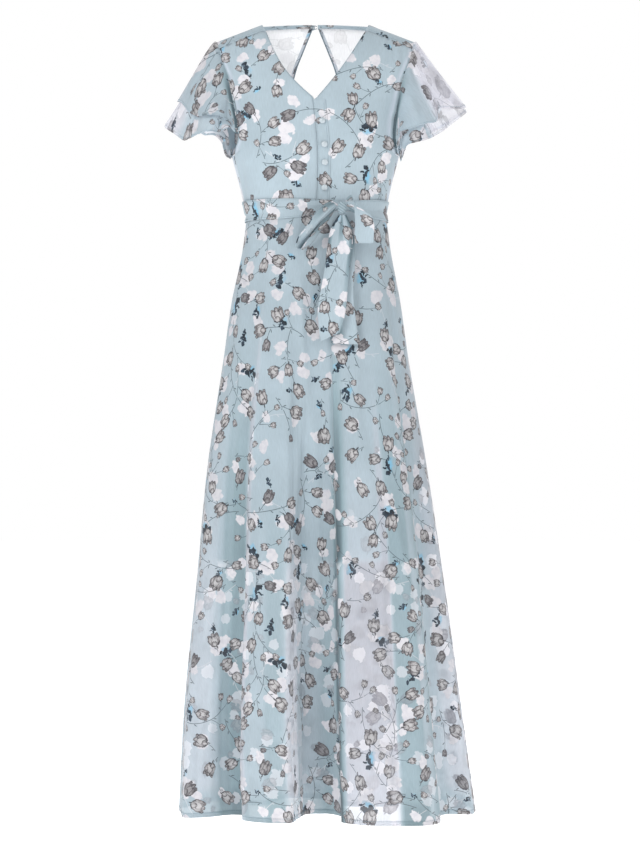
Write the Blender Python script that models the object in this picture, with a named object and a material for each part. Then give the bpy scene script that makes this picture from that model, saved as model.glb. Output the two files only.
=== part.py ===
# Maxi dress with a V neck, flutter sleeves of two tiers, a keyhole back, a tie belt and a flared
# skirt over a knee-length lining. It keeps the hollow form that it has when it is worn.
# The origin lies between the two high shoulder points, +X is the wearer's left, the front faces -Y.
import math

import bmesh
import bpy
import numpy as np

MM = 0.001

# Cloth and seams
WALL = 1.2 * MM
SEAM_GAP = 0.5 * MM
ROUNDNESS = 2.3  # exponent of the sections: 2 is an ellipse, more is squarer

# Driving sizes, measured down from the high shoulder points
SHOULDER_HALF = 178.5 * MM
NECK_HALF = 97 * MM
SHOULDER_DROP = 31 * MM
V_DEPTH = 146 * MM
V_BELLY = {"right": 13 * MM, "left": 5 * MM}  # the V's edges bow out by this much
UNDERARM = 240 * MM
WAIST = 345 * MM
LINING_HEM = 965 * MM
HEM = 1425 * MM
SHOULDER_ROUND_FRONT = 110 * MM
SHOULDER_ROUND_BACK = 90 * MM
YOKE_SEAM_FRONT = 16 * MM
YOKE_SEAM_BACK = 10 * MM
BACK_NECK_RISE = 22 * MM
BACK_NECK_BOW = 6 * MM
NECKBAND_HEIGHT = 9 * MM
KEYHOLE_DEPTH = 168 * MM
PLACKET_WIDTH = 19 * MM
BINDING_INSET = 3.0 * MM
BINDING_RADIUS = 1.5 * MM
BUTTON_RADIUS = 5.5 * MM
SLEEVE_WALL = 1.0 * MM
SLEEVE_CLEAR = 2.9 * MM
SLEEVE_SWELL = {"right": 4.5 * MM, "left": 0.5 * MM}
TIER_GAP = 2.0 * MM
LINING_CLEAR = 3.6 * MM
LINING_WALL = 1.0 * MM
BELT_HEIGHT = 37 * MM
BELT_TOP = 321.5 * MM
BELT_SQUEEZE = 22 * MM  # how much lower the belt gets where it runs into the knot
BELT_CLEAR = 4 * MM
KNOT_TURN = 19  # degrees from the centre front


def table(columns, rows, scale=MM):
    """A table of named columns, in metres unless scale says otherwise."""
    values = np.array(rows, float) * scale
    return {name: values[:, i] for i, name in enumerate(columns.split())}


# Sections of the bodice: each row is a level below the shoulder
BODICE = table("down half_width front back", [
    (0, 180, 64, 60),
    (60, 182, 80, 70),
    (120, 177, 96, 78),
    (180, 164, 110, 81),
    (240, 151, 116, 80),
    (290, 138, 107, 76),
    (345, 126, 97, 73),
])

# Front armhole edge of a panel, from the shoulder point down
ARMHOLE = table("down across", [
    (31, 178),
    (66, 170),
    (100, 158),
    (130, 151),
    (160, 145),
    (190, 140),
    (215, 139),
    (232, 144),
])

# Half width of the keyhole
KEYHOLE = table("down half_width", [
    (10, 7),
    (44, 23),
    (78, 37),
    (110, 43),
    (140, 35),
    (158, 20),
    (165, 8),
    (168, 0.3),
])

# Sections of the skirt without its folds
SKIRT = table("down half_width middle front back", [
    (345, 126, 2, 97, 74),
    (408, 134, 2, 108, 92),
    (498, 152, 1, 117, 108),
    (602, 167, 1, 124, 122),
    (783, 196, 3, 133, 140),
    (1020, 225, 10, 145, 155),
    (1238, 250, 15, 158, 166),
    (1425, 267, 24, 170, 176),
])
FOLD_GROWTH = 1.6  # power with which the folds open from waist to hem
SKIRT_SEAM = 0.0003  # share of the hem's length that a panel keeps clear of a seam
LINING_SEAM = 0.001
SKIRT_LEVELS = -np.array([WAIST + SEAM_GAP, 0.408, 0.498, 0.602, 0.783, LINING_HEM, 1.11, 1.26, HEM])
LINING_LEVELS = -np.array([WAIST + SEAM_GAP, 0.408, 0.602, LINING_HEM])

# The front hem as it stands in plan: angle at the waist in degrees, then where the cloth lies
HEM_FRONT = [
    # angle, across, depth
    (-90, -243, -25),
    (-76, -229, -86),
    (-62, -192, -76),
    (-48, -146, -46),
    (-40, -121, -58),
    (-35, -129, -112),
    (-25, -86, -148),
    (-13, -46, -150),
    (-9, -31, -98),
    (-3, -8, -34),
    (3, 22, -34),
    (7, 49, -78),
    (9, 49, -146),
    (20, 92, -180),
    (34, 146, -186),
    (46, 196, -180),
    (53, 219, -150),
    (57, 215, -84),
    (64, 243, -36),
    (78, 276, -44),
    (90, 291, 8),
]

# The back hem, from the wearer's left side to the right
HEM_BACK = [
    (-90, 291, 8),
    (-78, 278, 66),
    (-66, 246, 110),
    (-56, 216, 150),
    (-48, 180, 168),
    (-40, 156, 128),
    (-34, 150, 78),
    (-24, 110, 58),
    (-14, 62, 62),
    (-8, 38, 116),
    (0, 2, 168),
    (12, -48, 178),
    (20, -76, 138),
    (27, -90, 84),
    (36, -124, 78),
    (42, -140, 122),
    (52, -176, 150),
    (62, -206, 112),
    (72, -222, 66),
    (82, -244, 40),
    (90, -243, -25),
]

# Hem of the lower tier of each sleeve, from the front of the armhole over the shoulder to the back:
# share is the place along the armhole, then where the hem point lies from the neck's middle
SLEEVE_LOWER_RIGHT = [
    # share, across, depth, down
    (0.00, -152, -60, 192),
    (0.06, -159, -70, 195),
    (0.12, -172, -74, 202),
    (0.17, -187, -98, 203),
    (0.24, -206, -88, 206),
    (0.31, -224, -68, 212),
    (0.37, -235, -76, 217),
    (0.43, -252, -42, 203),
    (0.50, -273, -6, 186),
    (0.57, -266, 30, 180),
    (0.64, -246, 64, 190),
    (0.71, -222, 68, 184),
    (0.77, -205, 88, 190),
    (0.84, -186, 70, 193),
    (0.90, -172, 58, 208),
    (0.95, -165, 38, 232),
    (1.00, -154, 14, 242),
]
SLEEVE_LOWER_LEFT = [
    (0.00, 154, -22, 250),
    (0.07, 158, -48, 240),
    (0.14, 164, -66, 225),
    (0.22, 180, -94, 222),
    (0.29, 197, -98, 218),
    (0.35, 212, -80, 210),
    (0.41, 228, -60, 199),
    (0.46, 241, -38, 187),
    (0.50, 272, -6, 161),
    (0.58, 253, 36, 166),
    (0.66, 238, 62, 176),
    (0.73, 212, 62, 190),
    (0.80, 196, 80, 197),
    (0.88, 176, 62, 205),
    (0.94, 164, 46, 218),
    (1.00, 154, 14, 238),
]
# The upper tier lies on the lower one: share of the armhole, length against the lower tier's, and
# how far its hem stands off
SLEEVE_UPPER_RIGHT = [
    # share, length, stand-off
    (0.00, 0.50, 4),
    (0.08, 0.54, 7),
    (0.14, 0.60, 11),
    (0.20, 0.70, 8),
    (0.32, 0.73, 7),
    (0.42, 0.70, 6),
    (0.50, 0.70, 2),
    (0.62, 0.66, 9),
    (0.76, 0.62, 7),
    (0.88, 0.60, 10),
    (1.00, 0.50, 4),
]
SLEEVE_UPPER_LEFT = [
    (0.00, 0.45, 4),
    (0.08, 0.52, 8),
    (0.16, 0.64, 10),
    (0.24, 0.77, 9),
    (0.31, 0.82, 12),
    (0.37, 0.85, 12),
    (0.42, 0.74, 6),
    (0.46, 0.79, 3),
    (0.50, 0.94, 2),
    (0.58, 0.76, 6),
    (0.70, 0.66, 9),
    (0.84, 0.60, 8),
    (1.00, 0.50, 4),
]
# Span of the armhole that each sleeve is set into
SLEEVE_SPAN = {"right": (0.12, 0.97), "left": (0.06, 0.97)}

# Ribbons of the bow: middle of the ribbon (across, depth, down), then half of its width as a vector
TAIL_FRONT = [
    # across, depth, down, half across, half depth, half down
    (47, -117, 353, 6, -3, 0),
    (46, -123, 376, 18, -3, 1),
    (44, -127, 405, 22, 2, 1),
    (39, -131, 445, 22, 4, 0),
    (33, -134, 490, 24, 3, 0),
    (28, -137, 530, 24, -2, 2),
    (26, -139, 570, 17, -3, -8),
]
TAIL_BACK = [
    (50, -106, 352, 5, 1, 0),
    (52, -109, 380, 14, 1, 0),
    (51, -113, 410, 18, -1, 0),
    (47, -118, 445, 23, 2, 0),
    (43, -123, 490, 24, 2, 0),
    (46, -127, 535, 25, 2, 0),
    (54, -129, 582, 26, 2, 1),
]
LOOP_RIGHT = [
    (34, -118, 333, -4, -6, -4),
    (24, -130, 340, -5, -12, -6),
    (6, -136, 358, -5, -14, -6),
    (-13, -134, 384, -5, -15, -6),
    (-27, -128, 402, -5, -15, -5),
    (-29, -124, 413, -6, -14, -2),
    (-20, -122, 411, -10, -11, 5),
    (-4, -122, 392, -11, -10, 8),
    (14, -119, 368, -11, -9, 8),
    (28, -114, 347, -7, -6, 5),
    (33, -111, 341, -4, -4, 3),
]
LOOP_LEFT = [
    (57, -120, 330, 2, -3, 6),
    (68, -131, 331, 5, -4, 12),
    (82, -138, 346, 14, -3, 8),
    (87, -137, 372, 17, -2, 2),
    (86, -131, 395, 17, -2, 0),
    (87, -125, 404, 16, -3, 0),
    (88, -120, 396, 15, -2, 1),
    (87, -117, 370, 14, -3, 3),
    (76, -115, 350, 9, -3, 6),
    (60, -112, 342, 3, -3, 5),
]
KNOT = {"across": 47.5 * MM, "depth": -113.5 * MM, "down": 340 * MM}
KNOT_HALF = (8.5 * MM, 6.0 * MM, 11.0 * MM)

# Buttons down the placket: their places, and their turned profile as shares of the radius
BUTTON_DOWNS = (186 * MM, 228 * MM, 259 * MM, 303 * MM)
BUTTON_STAND = 2.5 * MM
BUTTON_PROFILE = [(0, 0), (0.75, 0), (1.0, 0.18), (0.94, 0.42), (0.6, 0.62), (0, 0.7)]

# Button and thread loop that close the neckband
NECK_BUTTON_PROFILE = [(0, -2.2), (4.2, -2.2), (5.2, 0), (4.2, 2.2), (0, 2.6)]
NECK_BUTTON_PLACE = (-6.0 * MM, 5.4 * MM, 0)
NECK_LOOP_PLACE = (-2.6 * MM, 1.6 * MM, 0)
NECK_LOOP_HALF = (6.0 * MM, 3.2 * MM)
NECK_LOOP_RADIUS = 0.7 * MM

# Gathers under the yoke and darts above the waist, as soft waves of the front
GATHER_DEPTH = 1.6 * MM
GATHER_PITCH = 15 * MM
GATHER_REACH = 42 * MM
GATHER_FROM = 112 * MM
GATHER_TO = 172 * MM
GATHER_FADE = 16 * MM
DART_PLACES = {"right": -72 * MM, "left": 86 * MM}
DART_DEPTH = 2.4 * MM
DART_WIDTH = 9 * MM
DART_REACH = 62 * MM

TUBE_SIDE = (0.31, 0.74, 0.6)

# Points inside the form, towards which walls grow
CHEST = (0, 0, -0.2)
HIPS = (0.01, 0, -0.9)

CLOTH_COLOUR = (0.45, 0.58, 0.64)
LINING_COLOUR = (0.42, 0.56, 0.60)
TRIM_COLOUR = (0.30, 0.36, 0.40)
BUTTON_COLOUR = (0.55, 0.68, 0.74)


def clear_scene():
    for item in list(bpy.data.objects):
        bpy.data.objects.remove(item)


def spline(at, knots, values):
    """Smooth curve through the values at the knots, read at the places in at."""
    knots = np.asarray(knots, float)
    values = np.asarray(values, float)
    if values.ndim == 1:
        return spline(at, knots, values[:, None])[..., 0]
    at = np.clip(np.asarray(at, float), knots[0], knots[-1])
    steps = np.diff(knots)[:, None]
    slopes = np.diff(values, axis=0) / steps
    tangents = np.empty_like(values)
    tangents[0] = slopes[0]
    tangents[-1] = slopes[-1]
    tangents[1:-1] = (slopes[:-1] * steps[1:] + slopes[1:] * steps[:-1]) / (steps[1:] + steps[:-1])
    piece = np.clip(np.searchsorted(knots, at, side="right") - 1, 0, len(knots) - 2)
    width = steps[piece]
    share = (at - knots[piece])[..., None] / width
    start = values[piece]
    end = values[piece + 1]
    out = (2 * share**3 - 3 * share**2 + 1) * start
    out = out + (share**3 - 2 * share**2 + share) * width * tangents[piece]
    out = out + (3 * share**2 - 2 * share**3) * end
    return out + (share**3 - share**2) * width * tangents[piece + 1]


def column(rows, name, down):
    return spline(down, rows["down"], rows[name])


def chords(points):
    """Share of the whole length reached at each point of a path."""
    steps = np.linalg.norm(np.diff(points, axis=0), axis=1)
    reached = np.concatenate([[0], np.cumsum(steps)])
    return reached / reached[-1]


# ---- the worn form of the bodice ----


def shoulder_line(across, back):
    """Height of the shoulder ridge; behind the neck it rises to the nape."""
    across = np.abs(across)
    slope = SHOULDER_DROP / (SHOULDER_HALF - NECK_HALF)
    height = -slope * np.maximum(across - NECK_HALF, 0)
    nape = BACK_NECK_RISE * (1 - np.minimum(across / NECK_HALF, 1) ** 2)
    return np.where(back, height + nape, height)


def depth_of(across, z, back):
    """How far in front of or behind the middle plane the body's surface lies."""
    across = np.abs(across)
    half = column(BODICE, "half_width", -z)
    full = np.where(back, column(BODICE, "back", -z), column(BODICE, "front", -z))
    section = (1 - np.minimum(across / half, 1) ** ROUNDNESS) ** (1 / ROUNDNESS)
    reach = np.where(back, SHOULDER_ROUND_BACK, SHOULDER_ROUND_FRONT)
    below = np.clip((shoulder_line(across, back) - z) / reach, 0, 1)
    return full * section * np.sqrt(1 - (1 - below) ** 2)


def on_body(turn, z, back):
    """Point of the body at a turn from the middle (0) to the side (90 degrees), signed by side."""
    half = column(BODICE, "half_width", -z)
    across = half * np.sign(turn) * np.abs(np.sin(turn)) ** (2 / ROUNDNESS)
    depth = depth_of(across, z, back)
    return np.stack([across, np.where(back, depth, -depth), z], axis=-1)


def turn_of(across, z):
    half = column(BODICE, "half_width", -z)
    return np.sign(across) * np.arcsin(np.clip(np.abs(across) / half, 0, 1) ** (ROUNDNESS / 2))


def front_ease(points, side):
    """Gathers below the yoke and the dart above the waist, pushed along the depth."""
    across = np.abs(points[..., 0])
    below_yoke = shoulder_line(across, False) - YOKE_SEAM_FRONT - points[..., 2]
    near_shoulder = np.clip((across - GATHER_FROM) / GATHER_FADE, 0, 1)
    near_shoulder = near_shoulder * np.clip((GATHER_TO - across) / GATHER_FADE, 0, 1)
    wave = np.cos(2 * np.pi * across / GATHER_PITCH)
    gather = GATHER_DEPTH * wave * near_shoulder * np.exp(-np.maximum(below_yoke, 0) / GATHER_REACH)
    above_waist = points[..., 2] + WAIST
    from_dart = (points[..., 0] - DART_PLACES[side]) / DART_WIDTH
    dart = DART_DEPTH * np.exp(-from_dart**2) * np.clip(1 - above_waist / DART_REACH, 0, 1)
    moved = points.copy()
    moved[..., 1] += gather + dart
    return moved


def centre_front(z):
    """Edge where the two fronts meet under the placket: it leans to the wearer's left."""
    down = -z
    return spline(down, [V_DEPTH, 230 * MM, WAIST], [-2 * MM, 6 * MM, 5 * MM])


def v_edge(share, belly):
    """Edge of the V neck on the +X side, from its bottom (0) up to the yoke seam (1)."""
    low = np.array([0.0, -V_DEPTH])
    high = np.array([NECK_HALF - 0.5 * YOKE_SEAM_FRONT, -YOKE_SEAM_FRONT])
    straight = low + (high - low) * share[:, None]
    along = (high - low) / np.linalg.norm(high - low)
    bow = belly * np.sin(np.pi * share)[:, None]
    return straight + bow * np.array([along[1], -along[0]])


def keyhole_edge(share):
    """Wearer's left edge of the keyhole in the back's plane, from its foot (0) to the neckline (1)."""
    outline = np.stack([KEYHOLE["half_width"], -KEYHOLE["down"]], axis=1)[::-1]
    return spline(share, chords(outline), outline)


def neckline_back(across):
    """Height of the edge of the back under the neckband and the yoke."""
    bow = BACK_NECK_BOW * (1 - np.minimum(np.abs(across) / NECK_HALF, 1) ** 2)
    inside = bow - NECKBAND_HEIGHT - SEAM_GAP
    under_yoke = shoulder_line(across, False) - YOKE_SEAM_BACK - SEAM_GAP
    return np.where(np.abs(across) < NECK_HALF, inside, under_yoke)


def seam_under_yoke(across):
    return shoulder_line(across, False) - YOKE_SEAM_FRONT - SEAM_GAP


def panel(low_edge, high_edge, arm_top, top_line, rows, columns, back):
    """Grid between an inner edge and the side of the form. The low rows, up to the underarm, end at
    the side seam, and the high rows end at the armhole and bend to the top line."""
    rows_low, rows_high = rows
    low = np.linspace(0, 1, rows_low + 1)
    high = np.linspace(0, 1, rows_high + 1)[1:]
    side_z = -WAIST + SEAM_GAP + (WAIST - SEAM_GAP - UNDERARM) * low
    arm_z = -UNDERARM + (UNDERARM - arm_top) * high
    outer_z = np.concatenate([side_z, arm_z])
    half = column(BODICE, "half_width", -outer_z) - 0.02 * MM
    outer_x = np.concatenate([half[:rows_low + 1], spline(-arm_z, ARMHOLE["down"], ARMHOLE["across"])])
    outer_x = np.minimum(outer_x, half)
    inner = np.concatenate([low_edge(low), high_edge(high)])
    share = np.linspace(0, 1, columns + 1)[None, :]
    inner_turn = turn_of(inner[:, 0], inner[:, 1])[:, None]
    turn = inner_turn * (1 - share) + turn_of(outer_x, outer_z)[:, None] * share
    z = inner[:, 1:] * (1 - share) + outer_z[:, None] * share
    across = column(BODICE, "half_width", -z) * np.sign(turn) * np.abs(np.sin(turn)) ** (2 / ROUNDNESS)
    rise = np.concatenate([np.zeros(rows_low + 1), high])[:, None] ** 2
    z = z + rise * (top_line(across[-1]) - z[-1])[None, :]
    return on_body(turn_of(across, z), z, back)


def front_panel(side, rows, columns):
    """Half of the front, from the placket's line and the V neck to the side seam and the armhole."""
    sign = 1 if side == "left" else -1

    def centre(share):
        z = -WAIST + SEAM_GAP + (WAIST - SEAM_GAP - V_DEPTH) * share
        return np.stack([SEAM_GAP / 2 + sign * centre_front(z), z], axis=1)

    def neck(share):
        return v_edge(share, V_BELLY[side])

    arm_top = SHOULDER_DROP + YOKE_SEAM_FRONT
    points = panel(centre, neck, arm_top, seam_under_yoke, rows, columns, False)
    points[..., 0] *= sign
    return front_ease(points, side)


def back_panel(side, rows, columns):
    """Half of the back, from the centre seam and the keyhole to the side seam and the armhole."""

    def centre(share):
        z = -WAIST + SEAM_GAP + (WAIST - SEAM_GAP - KEYHOLE_DEPTH) * share
        return np.stack([np.full_like(z, SEAM_GAP / 2), z], axis=1)

    arm_top = SHOULDER_DROP + YOKE_SEAM_BACK
    points = panel(centre, keyhole_edge, arm_top, neckline_back, rows, columns, True)
    points[..., 0] *= 1 if side == "left" else -1
    return points


def yoke(side, columns, rows):
    """Shoulder strip over the ridge, from its front seam to its back seam."""
    sign = 1 if side == "left" else -1
    front_angle = math.acos(1 - (YOKE_SEAM_FRONT - SEAM_GAP) / SHOULDER_ROUND_FRONT)
    back_angle = math.acos(1 - (YOKE_SEAM_BACK - SEAM_GAP) / SHOULDER_ROUND_BACK)
    angles = np.linspace(-front_angle, back_angle, rows + 1)
    share = np.linspace(0, 1, columns + 1)
    grid = np.empty((rows + 1, columns + 1, 3))
    for i, angle in enumerate(angles):
        back = angle > 0
        reach = SHOULDER_ROUND_BACK if back else SHOULDER_ROUND_FRONT
        drop = reach * (1 - math.cos(angle))
        inner = NECK_HALF - (0 if back else 0.5 * drop)
        across = inner + (SHOULDER_HALF - inner) * share
        z = shoulder_line(across, False) - drop
        section = depth_of(across, z, back)
        grid[i, :, 0] = sign * across
        grid[i, :, 1] = section if back else -section
        grid[i, :, 2] = z
    return grid


# ---- the skirt ----


def skirt_base(angle, z):
    """Section of the skirt without folds; angle 0 is the centre front, 180 the centre back."""
    half = column(SKIRT, "half_width", -z)
    middle = column(SKIRT, "middle", -z)
    depth = np.where(np.cos(angle) > 0, column(SKIRT, "front", -z), column(SKIRT, "back", -z))
    across = middle + half * np.sign(np.sin(angle)) * np.abs(np.sin(angle)) ** (2 / ROUNDNESS)
    away = -depth * np.sign(np.cos(angle)) * np.abs(np.cos(angle)) ** (2 / ROUNDNESS)
    return np.stack([across, away, z + 0 * across], axis=-1)


def hem_path(rows, turned):
    """Angle and plan position along the hem, as functions of the share of its length."""
    rows = np.array(rows, float)
    angles = np.radians(rows[:, 0])
    if turned:
        angles = math.pi + angles
    places = rows[:, 1:] * MM
    knots = chords(places)
    return lambda share: (np.interp(share, knots, angles), spline(share, knots, places))


def middle_share(rows):
    """Share of the hem's length at which it passes the middle of its panel's side."""
    rows = np.array(rows, float)
    return np.interp(0, rows[:, 0], chords(rows[:, 1:]))


HEM_PATHS = {"front": hem_path(HEM_FRONT, False), "back": hem_path(HEM_BACK, True)}
CENTRE_BACK = middle_share(HEM_BACK)
SIDE_BACK_LEFT = 0.325  # seams of the back's gores, in the valleys beside its middle flute
SIDE_BACK_RIGHT = 0.69

# Panels of the skirt: the hem path that each follows, where it starts and ends, and its columns
SKIRT_PANELS = {
    "skirt_front": ("front", 0, 1, 52),
    "skirt_side_left": ("back", 0, SIDE_BACK_LEFT, 14),
    "skirt_back_left": ("back", SIDE_BACK_LEFT, CENTRE_BACK, 9),
    "skirt_back_right": ("back", CENTRE_BACK, SIDE_BACK_RIGHT, 8),
    "skirt_side_right": ("back", SIDE_BACK_RIGHT, 1, 13),
}
LINING_PANELS = {
    "lining_front": ("front", 0, 1, 52),
    "lining_back": ("back", 0, 1, 42),
}


def skirt_grid(part, shares, levels):
    """Grid of a skirt panel: the folds of the hem fade out towards the waist."""
    angle, plan = HEM_PATHS[part](shares)
    rows = []
    foot = skirt_base(angle, np.full_like(angle, -HEM))
    for z in levels:
        base = skirt_base(angle, np.full_like(angle, z))
        grown = np.clip((-z - WAIST) / (HEM - WAIST), 0, 1) ** FOLD_GROWTH
        base[:, :2] += grown * (plan - foot[:, :2])
        rows.append(base)
    return np.array(rows)


# ---- walls ----


def normals_of(grid, closed):
    """Unit normals of a grid of points, [row, column]."""
    if closed:
        across = np.roll(grid, -1, axis=1) - np.roll(grid, 1, axis=1)
    else:
        across = np.gradient(grid, axis=1)
    along = np.gradient(grid, axis=0)
    normal = np.cross(across, along)
    length = np.linalg.norm(normal, axis=-1, keepdims=True)
    return normal / np.maximum(length, 1e-12)


def cloth_mesh(outer, inner, closed):
    """Closed wall between two grids of points."""
    rows, columns = outer.shape[:2]
    points = np.concatenate([outer.reshape(-1, 3), inner.reshape(-1, 3)])
    half = rows * columns

    def at(row, col, layer):
        return layer * half + row * columns + col % columns

    faces = []
    last = columns if closed else columns - 1
    for row in range(rows - 1):
        for col in range(last):
            for layer in (0, 1):
                low = (at(row, col, layer), at(row, col + 1, layer))
                high = (at(row + 1, col + 1, layer), at(row + 1, col, layer))
                faces.append(low + high if layer == 0 else (low[0], high[1], high[0], low[1]))
    for row, turn in ((0, True), (rows - 1, False)):
        for col in range(last):
            face = (at(row, col, 0), at(row, col + 1, 0), at(row, col + 1, 1), at(row, col, 1))
            faces.append(face[::-1] if turn else face)
    if not closed:
        for col, turn in ((0, False), (columns - 1, True)):
            for row in range(rows - 1):
                face = (at(row, col, 0), at(row + 1, col, 0), at(row + 1, col, 1), at(row, col, 1))
                faces.append(face[::-1] if turn else face)
    return points, faces


MATERIALS = {}


def material(name, colour, roughness):
    if name not in MATERIALS:
        made = bpy.data.materials.new(name)
        made.use_nodes = True
        shader = made.node_tree.nodes["Principled BSDF"]
        shader.inputs["Base Color"].default_value = (*colour, 1)
        shader.inputs["Roughness"].default_value = roughness
        shader.inputs["Metallic"].default_value = 0
        MATERIALS[name] = made
    return MATERIALS[name]


def add_object(name, points, faces, colour=CLOTH_COLOUR, roughness=0.8):
    """One closed object, its faces turned outwards."""
    mesh = bpy.data.meshes.new(name)
    mesh.from_pydata([tuple(p) for p in points], [], faces)
    shape = bmesh.new()
    shape.from_mesh(mesh)
    bmesh.ops.recalc_face_normals(shape, faces=shape.faces)
    if shape.calc_volume(signed=True) < 0:
        bmesh.ops.reverse_faces(shape, faces=shape.faces)
    shape.to_mesh(mesh)
    shape.free()
    mesh.shade_smooth()
    made = bpy.data.objects.new(name, mesh)
    made.data.materials.append(material(name + "_finish", colour, roughness))
    bpy.context.scene.collection.objects.link(made)
    return made


def moved_in(grid, amount, inside, closed=False):
    """The grid moved along its normals by an amount, towards the side where the point inside lies."""
    normal = normals_of(grid, closed)
    facing = np.sum(normal * (np.array(inside) - grid))
    return grid + math.copysign(amount, amount * facing) * normal


def add_cloth(name, outer, inside, closed=False, wall=WALL, colour=CLOTH_COLOUR):
    """Wall of cloth whose outer points are given; it grows towards the point inside."""
    points, faces = cloth_mesh(outer, moved_in(outer, wall, inside, closed), closed)
    return add_object(name, points, faces, colour)


# ---- pieces ----


def add_bodice():
    """Fronts, backs and shoulder yokes, a panel for each side."""
    for side in ("left", "right"):
        sign = 1 if side == "left" else -1
        add_cloth("front_" + side, front_panel(side, (4, 6), 15), CHEST)
        add_cloth("back_" + side, back_panel(side, (3, 7), 8), CHEST)
        add_cloth("yoke_" + side, yoke(side, 6, 6), (sign * 0.13, 0, -0.2))


def add_placket():
    """Strip on the wearer's left front, laid on the panel's points and moved out."""
    downs = np.linspace(V_DEPTH + 4 * MM, WAIST - SEAM_GAP, 9)
    shares = np.linspace(0, 1, 4)
    z = -downs[:, None] + 0 * shares[None, :]
    x = centre_front(z) + SEAM_GAP + PLACKET_WIDTH * shares[None, :]
    points = front_ease(on_body(turn_of(x, z), z, False), "left")
    outer = moved_in(points, -(WALL + SEAM_GAP), CHEST)
    add_cloth("placket", outer, CHEST)


def revolved(profile, steps):
    """Closed solid turned about its own axis from a profile of (radius, height)."""
    points = []
    faces = []
    for radius, height in profile[1:-1]:
        for i in range(steps):
            angle = 2 * math.pi * i / steps
            points.append((radius * math.cos(angle), radius * math.sin(angle), height))
    rings = len(profile) - 2
    bottom = len(points)
    points.append((0, 0, profile[0][1]))
    points.append((0, 0, profile[-1][1]))
    for i in range(steps):
        after = (i + 1) % steps
        faces.append((bottom, after, i))
        top = (rings - 1) * steps
        faces.append((bottom + 1, top + i, top + after))
        for ring in range(rings - 1):
            base = ring * steps
            faces.append((base + i, base + after, base + steps + after, base + steps + i))
    return np.array(points), faces


def add_buttons():
    """Small domed buttons down the middle of the placket."""
    profile = [(r * BUTTON_RADIUS, h * BUTTON_RADIUS) for r, h in BUTTON_PROFILE]
    for number, down in enumerate(BUTTON_DOWNS, 1):
        z = np.array([-down, -down - 1 * MM])
        x = centre_front(z) + SEAM_GAP + PLACKET_WIDTH / 2
        spot = front_ease(on_body(turn_of(x, z), z, False), "left")
        beside = front_ease(on_body(turn_of(x + 1 * MM, z), z, False), "left")
        outward = np.cross(beside[0] - spot[0], spot[0] - spot[1])
        outward /= np.linalg.norm(outward)
        points, faces = revolved(profile, 12)
        made = add_object(f"button_{number}", points, faces, BUTTON_COLOUR, 0.4)
        place_on(made, spot[0] + outward * BUTTON_STAND, outward)


def place_on(made, spot, outward):
    """Stands an object with its own +Z along the given direction, and keeps that in its mesh."""
    up = np.array([0.0, 0.0, 1.0])
    side = np.cross(up, outward)
    side /= np.linalg.norm(side)
    other = np.cross(outward, side)
    for vertex in made.data.vertices:
        x, y, z = vertex.co
        vertex.co = spot + side * x + other * y + outward * z


def tube(path, radius, sides):
    """Closed tube with flat ends along a path of points, none of which runs along the side vector."""
    along = np.gradient(path, axis=0)
    along /= np.linalg.norm(along, axis=1, keepdims=True)
    first = np.cross(along, TUBE_SIDE)
    first /= np.linalg.norm(first, axis=1, keepdims=True)
    second = np.cross(along, first)
    angles = np.arange(sides) * 2 * math.pi / sides
    rings = path[:, None] + radius * (np.cos(angles)[None, :, None] * first[:, None]
                                      + np.sin(angles)[None, :, None] * second[:, None])
    count = len(path)
    faces = []
    for i in range(count - 1):
        near = i * sides
        far = near + sides
        for j in range(sides):
            after = (j + 1) % sides
            faces.append((near + j, near + after, far + after, far + j))
    faces.append(tuple(range(sides))[::-1])
    faces.append(tuple((count - 1) * sides + j for j in range(sides)))
    return rings.reshape(-1, 3), faces


def add_keyhole_binding():
    """Bound edge that runs down one side of the keyhole, round its foot and up the other."""
    edge = keyhole_edge(np.linspace(1, 0.04, 13))
    along = np.gradient(edge, axis=0)
    inwards = np.stack([along[:, 1], -along[:, 0]], axis=1)
    left = edge + inwards / np.linalg.norm(inwards, axis=1, keepdims=True) * BINDING_INSET
    left[:, 0] = np.maximum(left[:, 0], 2 * MM)
    flat = np.concatenate([left, (left * [-1, 1])[::-1]])
    path = on_body(turn_of(flat[:, 0], flat[:, 1]), flat[:, 1], np.full(len(flat), True))
    path[:, 1] -= 0.5 * WALL
    points, faces = tube(path, BINDING_RADIUS, 6)
    add_object("keyhole_binding", points, faces, TRIM_COLOUR)


def band_point(across, height):
    """Point of the back neckband: height runs from its lower to its upper edge."""
    depth = depth_of(across, neckline_back(across), True)
    low = neckline_back(across) + SEAM_GAP
    return np.stack([across, depth - 1.5 * MM * height, low + NECKBAND_HEIGHT * height], axis=-1)


def add_neckband():
    """Two halves of the narrow band behind the neck, with the button and its loop between them."""
    for side, sign, end in (("left", 1, 4.0 * MM), ("right", -1, 7.0 * MM)):
        across = np.linspace(end, NECK_HALF - 1.2 * MM, 9)
        heights = np.linspace(0.03, 1, 3)
        grid = np.array([band_point(across, np.full_like(across, h)) for h in heights])
        grid[..., 0] *= sign
        add_cloth("neckband_" + side, grid, (0, 0, -NECKBAND_HEIGHT))
    middle = band_point(np.array([0.0]), np.array([0.5]))[0]
    profile = [(radius * MM, height * MM) for radius, height in NECK_BUTTON_PROFILE]
    points, faces = revolved(profile, 12)
    add_object("neck_button", points[:, [0, 2, 1]] + middle + NECK_BUTTON_PLACE, faces, BUTTON_COLOUR, 0.35)
    angles = np.radians(np.linspace(30, 330, 13))
    half_across, half_down = NECK_LOOP_HALF
    ring = np.stack([half_across * np.cos(angles), 0 * angles, half_down * np.sin(angles)], axis=1)
    points, faces = tube(ring + middle + NECK_LOOP_PLACE, NECK_LOOP_RADIUS, 6)
    add_object("neck_loop", points, faces, TRIM_COLOUR)


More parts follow.
